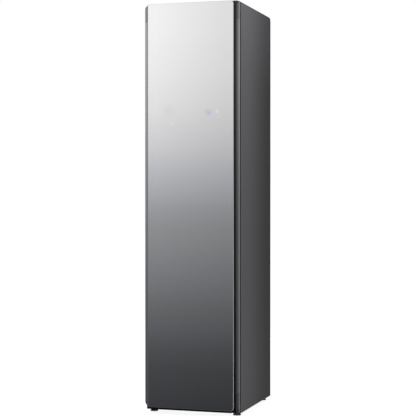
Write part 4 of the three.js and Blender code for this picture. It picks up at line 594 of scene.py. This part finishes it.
def satinBlackPaintedShadingMaterial(name, setup):
    # Painted light and shade by height, under the mould's grain
    material, tree, shader, coords = startMaterial(name, setup["shader"])
    height = spanShare(tree, coords, "Z", doorHeight)
    paintedLightTone = addNode(tree, "ShaderNodeValToRGB", None, {"Fac": height}, setup["stops"])
    tree.links.new(paintedLightTone.outputs["Color"], shader.inputs["Base Color"])
    tree.links.new(layeredRelief(tree, coords, setup["relief"]), shader.inputs["Normal"])
    return material


materials["mirrorGlass"] = mirrorGlassMaterial("mirrorGlass", mirrorGlass)
materials["satinBlackPaintedShading"] = satinBlackPaintedShadingMaterial("satinBlackPaintedShading", satinBlackPaintedShading)
materials["charcoalSidesPaintedShading"] = sidePaintAndShadingMaterial("charcoalSidesPaintedShading", paintCoat, sidePaintAndShading)
for name, setup in satinTrims.items():
    materials[name] = satinTrimMaterial(name, setup, brushing, hingeSidePaintedHighlight)
materials["polishedEdgePaintedLight"] = polishedEdgePaintedLightMaterial("polishedEdgePaintedLight", polishedEdgePaintedLight)
for name, setup in translucentPlastics.items():
    materials[name] = translucentMaterial(name, setup)
print("graded finishes ready, all:", len(materials))

finishOfSlot = {
    "charcoal_painted_steel": "charcoalPaintedSteel", "zinc_coated_steel": "zincCoatedSteel",
    "black_enamelled_steel": "blackEnamelledSteel", "satin_grey_trim": "satinCap",
    "mirror_glass": "mirrorGlass", "black_moulding": "blackMoulding",
    "dark_grey_moulding": "darkGreyMoulding", "white_moulding": "whiteMoulding",
    "clear_tank_plastic": "clearTankPlastic", "lamp_diffuser": "lampDiffuser",
    "grey_rubber": "greyRubber", "black_rubber": "blackRubber", "insulation_foam": "insulationFoam",
    "coil_aluminium": "coilAluminium", "copper_tube": "copperTube", "circuit_board": "circuitBoard",
}
slotOf = {row["node"]: row["material_slot"] for row in frame["record"]["subparts"]}


def dressNode(piece, node, material=None):
    # A piece that stands for a CAD node takes its body from it and, unless given a material, the finish of its
    # slot
    return dress(piece, material or materials[finishOfSlot[slotOf[node]]], node=node)


# Door glass: a 4 mm pane with rounded corners and a polished bevel round its front

doorGlass = {"leftX": -200.3, "rightX": 203.9, "raised": 2.5, "freeCorner": 5, "hingeCorner": 15,
             "cornerSteps": 14, "bevel": 1.8, "bevelDepth": 1.2, "arris": 0.4, "sharpAngle": 20,
             "faceAhead": 0.95}  # faces that look less straight ahead or back than this are polished edge


def doorGlassShell(setup):
    # Rounded rectangle in x and z carried back along y: arris behind, straight edge, flat bevel in front
    low, high = cornersOf("door_glass")
    free, hinge = setup["freeCorner"], setup["hingeCorner"]
    loop = rectLoop(setup["leftX"], setup["rightX"], low[2] + setup["raised"], high[2],
                    [free, hinge, hinge, free], setup["cornerSteps"])
    arris, bevel, depth = setup["arris"], setup["bevel"], setup["bevelDepth"]
    profile = [(arris, high[1]), (0, high[1] - arris), (0, low[1] + depth), (bevel, low[1])]
    return plateShell(loop, profile, "y")


def polishEdges(pane, polish, faceAhead):
    # Second material on every face whose normal leaves the y axis: bevel, edge and arris
    pane.data.materials.append(polish)
    normals = np.empty(len(pane.data.polygons) * 3, np.float32)
    pane.data.polygons.foreach_get("normal", normals)
    sideways = np.abs(normals.reshape(-1, 3)[:, 1]) < faceAhead
    pane.data.polygons.foreach_set("material_index", sideways.astype(np.int32))


glassPane = buildPiece("doorGlass", [doorGlassShell(doorGlass)], doorGlass["sharpAngle"])
dressNode(glassPane, "door_glass")
polishEdges(glassPane, materials["polishedEdgePaintedLight"], doorGlass["faceAhead"])
print("door glass ready")


# Door shell: side trims and end caps share one section, with a quarter ellipse at each front corner

doorShell = {
    "lapX": 185, "wall": 2.5, "wide": 19.5, "deep": 19, "ease": 0.5, "steps": 18, "sharpAngle": 25,
    # (distance from the middle, drop) of the slanted free corners
    "topCut": [(203, 3), (205, 4), (222.5, 16)], "bottomCut": [(203, 0), (204.5, 10), (222.5, 30)],
    # plate that closes a cap: drawn in, short of the back, under the rim, its thickness, clear of the slant
    "plateInset": 1.2, "plateBack": 2.7, "plateDown": 0.3, "plateThick": 2, "plateClear": 1,
}


def shellPath(setup, frontY, rearY, outerX):
    # Points and outward normals from the lap over the ellipse (x, y) = centre + (a sin t, -b cos t), then
    # back to rearY
    turn = np.linspace(0, math.pi / 2, setup["steps"])
    wide, deep = setup["wide"], setup["deep"]
    curve = np.stack([outerX - wide + wide * np.sin(turn), frontY + deep - deep * np.cos(turn)], axis=-1)
    lean = np.stack([deep * np.sin(turn), -wide * np.cos(turn)], axis=-1)
    lean /= np.linalg.norm(lean, axis=1)[:, None]
    points = np.concatenate([[(setup["lapX"], frontY)], curve, [(outerX, rearY)]])
    return points, np.concatenate([[(0, -1)], lean, [(1, 0)]])


def wallAlong(setup, path, low, high):
    # Wall that stands on a path: at every station a six-cornered ring of outer face, inner face and eased rims
    points, normals = path
    ease, wall = setup["ease"], setup["wall"]
    low, high = np.broadcast_to(low, len(points)), np.broadcast_to(high, len(points))
    corners = [(0, low + ease), (0, high - ease), (ease, high), (wall, high), (wall, low), (ease, low)]
    rings = [np.column_stack([points - drawn * normals, height]) for drawn, height in corners]
    return loftShell(np.stack(rings, axis=1))


def trimShell(setup, node):
    # Strip of the right side, the wall on its path from the node's foot to its head
    low, high = cornersOf(node)
    outerX = max(abs(low[0]), abs(high[0]))
    return wallAlong(setup, shellPath(setup, low[1], high[1], outerX), low[2], high[2])


def capShells(setup, node, cut, side):
    # U of both corners and the front between them; its free end slants off at the left corner.
    # side is 1 where the closed end is on top, -1 below
    low, high = cornersOf(node)
    points, normals = shellPath(setup, low[1], high[1], high[0])
    flip = np.array([-1, 1])
    points = np.concatenate([points[::-1] * flip, points])
    normals = np.concatenate([normals[::-1] * flip, normals])
    across, drop = np.array(cut, float).T
    slant = np.where(points[:, 0] < 0, np.interp(-points[:, 0], across, drop, left=0), 0)
    if side > 0:
        walls = wallAlong(setup, (points, normals), low[2], high[2] - slant)
    else:
        walls = wallAlong(setup, (points, normals), low[2] + slant, high[2])
    # closed end: a flat plate inside the wall, clear of the slanted corner
    inner = points - setup["plateInset"] * normals
    inner[:, 0] = np.maximum(inner[:, 0], setup["plateClear"] - across[0])
    rear = high[1] - setup["plateBack"]
    outline = np.concatenate([inner[:-1], [(inner[-1, 0], rear), (inner[0, 0], rear)]])
    rim = high[2] if side > 0 else low[2]
    level = rim - setup["plateDown"] * side
    plate = along("z", np.stack([outline, outline]), [level - setup["plateThick"] * side, level])
    return [walls, loftShell(plate)]


doorParts = [
    ("door_right_trim", "doorTrimRight", "satinTrimRight", [trimShell(doorShell, "door_right_trim")]),
    ("door_left_trim", "doorTrimLeft", "satinTrimLeft", [mirrored(trimShell(doorShell, "door_left_trim"))]),
    ("door_top_cap", "doorCapTop", "satinCap", capShells(doorShell, "door_top_cap", doorShell["topCut"], 1)),
    ("door_bottom_cap", "doorCapBottom", "satinCap",
     capShells(doorShell, "door_bottom_cap", doorShell["bottomCut"], -1)),
]
for node, name, finish, shells in doorParts:
    dressNode(buildPiece(name, shells, doorShell["sharpAngle"]), node, materials[finish])
print("door shell ready")


# Glass bed: black moulding behind the pane, with a flat lip that shows beside it

glassBed = {"leftX": -202, "rightX": 211, "short": 0.2, "front": 0.9, "thick": 1.7, "edge": 0.3,
            "freeCorner": 5, "hingeCorner": 1.0, "cornerSteps": 8, "edgeSteps": 3}


def glassBedLip(setup):
    # Rounded rectangle in x and z carried along y, a little in front of the trims; its free (left) corners
    # are rounded like the pane's, those on the hinge side hardly
    low, high = cornersOf("glass_carrier")
    free, hinge = setup["freeCorner"], setup["hingeCorner"]
    loop = rectLoop(setup["leftX"], setup["rightX"], low[2] + setup["short"], high[2] - setup["short"],
                    [free, hinge, hinge, free], setup["cornerSteps"])
    front = cornersOf("door_right_trim")[0][1] - setup["front"]
    profile = softEdge(front, front + setup["thick"], setup["edge"], setup["edgeSteps"])
    return plateShell(loop, profile, "y")


lip = buildPiece("glassBedLip", [glassBedLip(glassBed)])
dress(lip, materials["satinBlackPaintedShading"], body="door")
print("glass bed lip ready")


# Side panels: pressed trays with a rounded fold round the outer face

sidePanel = {"sheet": 1.2, "fold": 2.4, "foldSteps": 5, "cornerSteps": 10,
             "corners": [2.4, 2.4, 20, 2.4]}  # front foot, rear foot, rear head, front head


def sidePanelShell(setup):
    # Outline in y and z carried along x: up the outside, over the fold, across the face, and back inside
    low, high = cornersOf("right_side_panel")
    sheet, fold = setup["sheet"], setup["fold"]
    outline = rectLoop(low[1], high[1], low[2], high[2], setup["corners"], setup["cornerSteps"])
    turn = np.linspace(0, math.pi / 2, setup["foldSteps"])
    over = np.stack([fold * (1 - np.cos(turn)), high[0] - fold * (1 - np.sin(turn))], axis=-1)
    profile = np.concatenate([[(sheet, high[0] - sheet), (sheet, low[0]), (0, low[0])], over])
    return plateShell(outline, profile, "x")


# the side panels take the paint with its painted light and shade
sides = materials["charcoalSidesPaintedShading"]
dressNode(buildPiece("sidePanelRight", [sidePanelShell(sidePanel)]), "right_side_panel", sides)
dressNode(buildPiece("sidePanelLeft", [mirrored(sidePanelShell(sidePanel))]), "left_side_panel", sides)
print("side panels ready")


# Levelling feet: rubber pad, hexagon collar and threaded stem, turned about the screw's axis

levellingFoot = {
    # (radius, height) pairs
    "pad": [(0, 0), (16.8, 0), (17.7, 0.5), (18, 1.6), (18, 3.2), (17.2, 4.6), (14, 6.6), (11, 7.5), (0, 7.5)],
    "collar": [(0, 7.4), (8.2, 7.4), (9, 8.2), (9, 11.9), (8.2, 12.6), (0, 12.6)],
    "stemRadius": 4, "stemFoot": 7.3, "chamfer": 1, "threadFoot": 12.6, "pitch": 1.25, "threadDepth": 0.45,
    "padSides": 48, "stemSides": 20, "collarSides": 6,
}


def footShells(setup, node):
    # Pad, threaded stem and collar; the thread steps in and out every half pitch
    low, high = cornersOf(node)
    centre, floor, top = (low[:2] + high[:2]) / 2, low[2], high[2]
    radius, chamfer, foot = setup["stemRadius"], setup["chamfer"], setup["stemFoot"]
    thread = np.arange(setup["threadFoot"], top - chamfer, setup["pitch"] / 2)
    ridge = radius - setup["threadDepth"] * (np.arange(len(thread)) % 2)
    stem = np.concatenate([[(0, foot), (radius, foot)], np.stack([ridge, thread], axis=-1),
                           [(radius - chamfer, top), (0, top)]])
    turned = [(setup["pad"], setup["padSides"]), (stem, setup["stemSides"]),
              (setup["collar"], setup["collarSides"])]
    return [turnedShell(np.array(profile) + [0, floor], centre, "z", sides) for profile, sides in turned]


for node in [name for name in cadNodes if name.startswith("foot_")]:
    dressNode(buildPiece(node.replace("foot_", "levellingFoot_"), footShells(levellingFoot, node)), node)
print("feet ready")


# Pan head screws that hold the back sheet, sunk into its thickness so that they stay within the ribs

backScrews = {
    "radius": 3.9, "sides": 16, "seat": 1.1, "below": 0.1,
    # (radius, rise) of a low dome with a dimple, as shares of the whole
    "dome": [(0, 0), (1, 0), (1, 0.35), (0.85, 0.78), (0.55, 1), (0.34, 1), (0.24, 0.45), (0, 0.45)],
    "edgeX": 196, "edgeLevels": [40, 330, 620, 910, 1200, 1490, 1780],
    "endX": [-120, 0, 120], "endLevels": [24, 1796],
}


def backScrewShells(setup):
    # The dome turned about y at each place, from its seat in the sheet to just below the ribs
    low, high = cornersOf("back_panel")
    sheet = low[1] + setup["seat"]
    dome = np.array(setup["dome"]) * [setup["radius"], high[1] - setup["below"] - sheet] + [0, sheet]
    places = [(side * setup["edgeX"], level) for side in (-1, 1) for level in setup["edgeLevels"]]
    places += [(x, level) for x in setup["endX"] for level in setup["endLevels"]]
    return [turnedShell(dome, place, "y", setup["sides"]) for place in places]


screws = buildPiece("backScrews", backScrewShells(backScrews))
dress(screws, materials["zincCoatedSteel"], body="cabinet")
print("back screws ready")


# Every other node that shows keeps its shape, merged and with softened edges; width in millimetres

softened = {
    "top_panel": 0.8, "back_panel": 0.4, "top_hinge_arm": 0.8, "bottom_hinge_arm": 0.8, "front_frame": 0.8,
    "base_tray": 0.5, "power_cord_gland": 0.6, "glass_carrier": 0.4, "door_inner_liner": 1.5,
    "press_cover": 1.5, "chamber_left_wall": 1.2, "chamber_right_wall": 1.2, "chamber_rear_wall": 0.6,
    "chamber_floor": 1.0, "chamber_ceiling": 0.6, "chamber_lamp": 0.8, "lift_out_shelf": 1.0,
    "moving_hanger": 1.0, "lint_filter": 0.8, "scent_cartridge": 1.0, "steam_nozzle": 0.4, "control_box": 1.5,
    "tank_bay_housing": 1.0, "drain_tank": 2.0, "drain_tank_lid": 1.0, "supply_tank": 2.0,
    "supply_tank_lid": 1.0,
}
# The lower hinge arm is painted with the body, and the glass carrier is satin like its lip, with the same
# painted light and shade
ownFinish = {"bottom_hinge_arm": "charcoalPaintedSteel", "glass_carrier": "satinBlackPaintedShading"}
for node, width in softened.items():
    finish = ownFinish.get(node, finishOfSlot[slotOf[node]])
    dressNode(softenedCopy(node, "soft_" + node, width, softening), node, materials[finish])
print("softened pieces ready:", len(softened))


# Door seal: a magnet pocket that clips into the liner, bellows, and a bulb that meets the frame

doorSeal = {"inner": 14, "waist": 2.2, "folds": 2, "clear": 0.3, "bulbFrom": 0.85, "bulbReach": 0.16,
            "points": 25, "cornerRadius": 24, "cornerSteps": 12, "sharpAngle": 60}


def doorSealShell(setup):
    # Rounded rectangle in x and z; the section (drawn in, y) runs out one side and back along the other. Its
    # half width is mean + swing * cos(2 pi folds s), with s from 0 at the liner to 1, and an ellipse where
    # the bulb is
    low, high = cornersOf("door_gasket")
    clear, swing, middle = setup["clear"], setup["waist"] / 2, setup["inner"] / 2
    half = middle - clear
    share = np.linspace(0, 1, setup["points"])
    width = half - swing + swing * np.cos(2 * math.pi * setup["folds"] * share)
    bulb = share > setup["bulbFrom"]
    past = (share[bulb] - setup["bulbFrom"]) / setup["bulbReach"]
    width[bulb] = half * np.sqrt(np.clip(1 - past ** 2, 0, 1))
    reach = low[1] + clear + (high[1] - low[1] - 2 * clear) * share
    section = np.concatenate([np.stack([middle - width, reach], axis=-1),
                              np.stack([middle + width, reach], axis=-1)[::-1]])
    loop = rectLoop(low[0], high[0], low[2], high[2], [setup["cornerRadius"]] * 4, setup["cornerSteps"])
    return plateShell(loop, section, "y", wrapped=True)


dressNode(buildPiece("doorSeal", [doorSealShell(doorSeal)], doorSeal["sharpAngle"]), "door_gasket")
print("door seal ready")


# Every CAD node gets its finish too; the nodes that no piece replaces show it

for node, piece in cadNodes.items():
    material = materials[finishOfSlot[slotOf[node]]]
    if not piece.material_slots:
        piece.data.materials.append(material)
    for slot in piece.material_slots:
        slot.material = material
print("finishes on CAD nodes")


# Studio: pale floor, white surround, broad lamps

studio = {
    "floorColor": "#6b6b6a", "floorGlow": 0.9, "floorSize": 60, "floorPoints": 5,
    "worldLight": 0.865, "surround": 1.0, "white": (1, 1, 1, 1),
    "lamps": [
        {"name": "keyLamp", "place": (-2.0, -2.4, 2.7), "aim": (-0.1, -0.2, 1.1), "size": 1.6, "power": 26},
        {"name": "backLamp", "place": (-0.8, 3.2, 2.2), "aim": (0.0, 0.3, 1.0), "size": 2.0, "power": 70},
        {"name": "sideLamp", "place": (0.9, 0.02, 2.35), "aim": (0.22, 0.12, 1.75), "size": 0.5, "power": 8.5},
    ],
}


def seenDirectly(tree):
    # 1 for rays from the camera, a reflection or clear plastic, 0 for rays that carry light
    path = addNode(tree, "ShaderNodeLightPath").outputs
    seen = path["Is Camera Ray"]
    for ray in ("Is Glossy Ray", "Is Transmission Ray"):
        seen = addNode(tree, "ShaderNodeMath", {"operation": "MAXIMUM"}, {0: seen, 1: path[ray]}).outputs[0]
    return seen


def floorMaterial(setup):
    # Pale matt floor: white where it is seen, with a light shadow under the object
    material, tree, shader, _ = startMaterial("paleFloor", {
        "Base Color": linearColor(setup["floorColor"]), "Roughness": 0.9, "Specular IOR Level": 0.0,
        "Emission Color": setup["white"]})
    glow = addNode(tree, "ShaderNodeMapRange", None, {
        "Value": seenDirectly(tree), "To Min": 0.0, "To Max": setup["floorGlow"]})
    tree.links.new(glow.outputs["Result"], shader.inputs["Emission Strength"])
    return material


def buildFloor(setup):
    # Square grid at z = 0, in metres
    half, count = setup["floorSize"] / 2, setup["floorPoints"]
    side = np.linspace(-half, half, count)
    x, y = np.meshgrid(side, side, indexing="ij")
    points = np.stack([x, y, np.zeros_like(x)], axis=-1).reshape(-1, 3)
    index = np.arange(count * count).reshape(count, count)
    quads = np.stack([index[:-1, :-1], index[1:, :-1], index[1:, 1:], index[:-1, 1:]], axis=-1).reshape(-1, 4)
    mesh = bpy.data.meshes.new("floor")
    mesh.from_pydata(points.tolist(), [], quads.tolist())
    piece = bpy.data.objects.new("floor", mesh)
    bpy.context.scene.collection.objects.link(piece)
    mesh.materials.append(floorMaterial(setup))


def buildWorld(setup):
    # Soft surround for light; white where the camera, a reflection or clear plastic sees it
    world = bpy.data.worlds.new("studio")
    bpy.context.scene.world = world
    world.use_nodes = True
    tree = world.node_tree
    tree.nodes.clear()
    strength = addNode(tree, "ShaderNodeMapRange", None, {
        "Value": seenDirectly(tree), "To Min": setup["worldLight"], "To Max": setup["surround"]})
    background = addNode(tree, "ShaderNodeBackground", None, {
        "Color": setup["white"], "Strength": strength.outputs["Result"]})
    addNode(tree, "ShaderNodeOutputWorld", None, {"Surface": background.outputs[0]})


def buildLamp(lamp):
    # The door is a mirror, so the lamps stay out of its reflections
    data = bpy.data.lights.new(lamp["name"], "AREA")
    data.energy, data.size = lamp["power"], lamp["size"]
    piece = bpy.data.objects.new(lamp["name"], data)
    piece.location = lamp["place"]
    aim = Vector(lamp["aim"]) - Vector(lamp["place"])
    piece.rotation_euler = aim.to_track_quat("-Z", "Y").to_euler()
    piece.visible_glossy = False
    bpy.context.scene.collection.objects.link(piece)


buildFloor(studio)
buildWorld(studio)
for lamp in studio["lamps"]:
    buildLamp(lamp)
print("studio ready")

print("done")
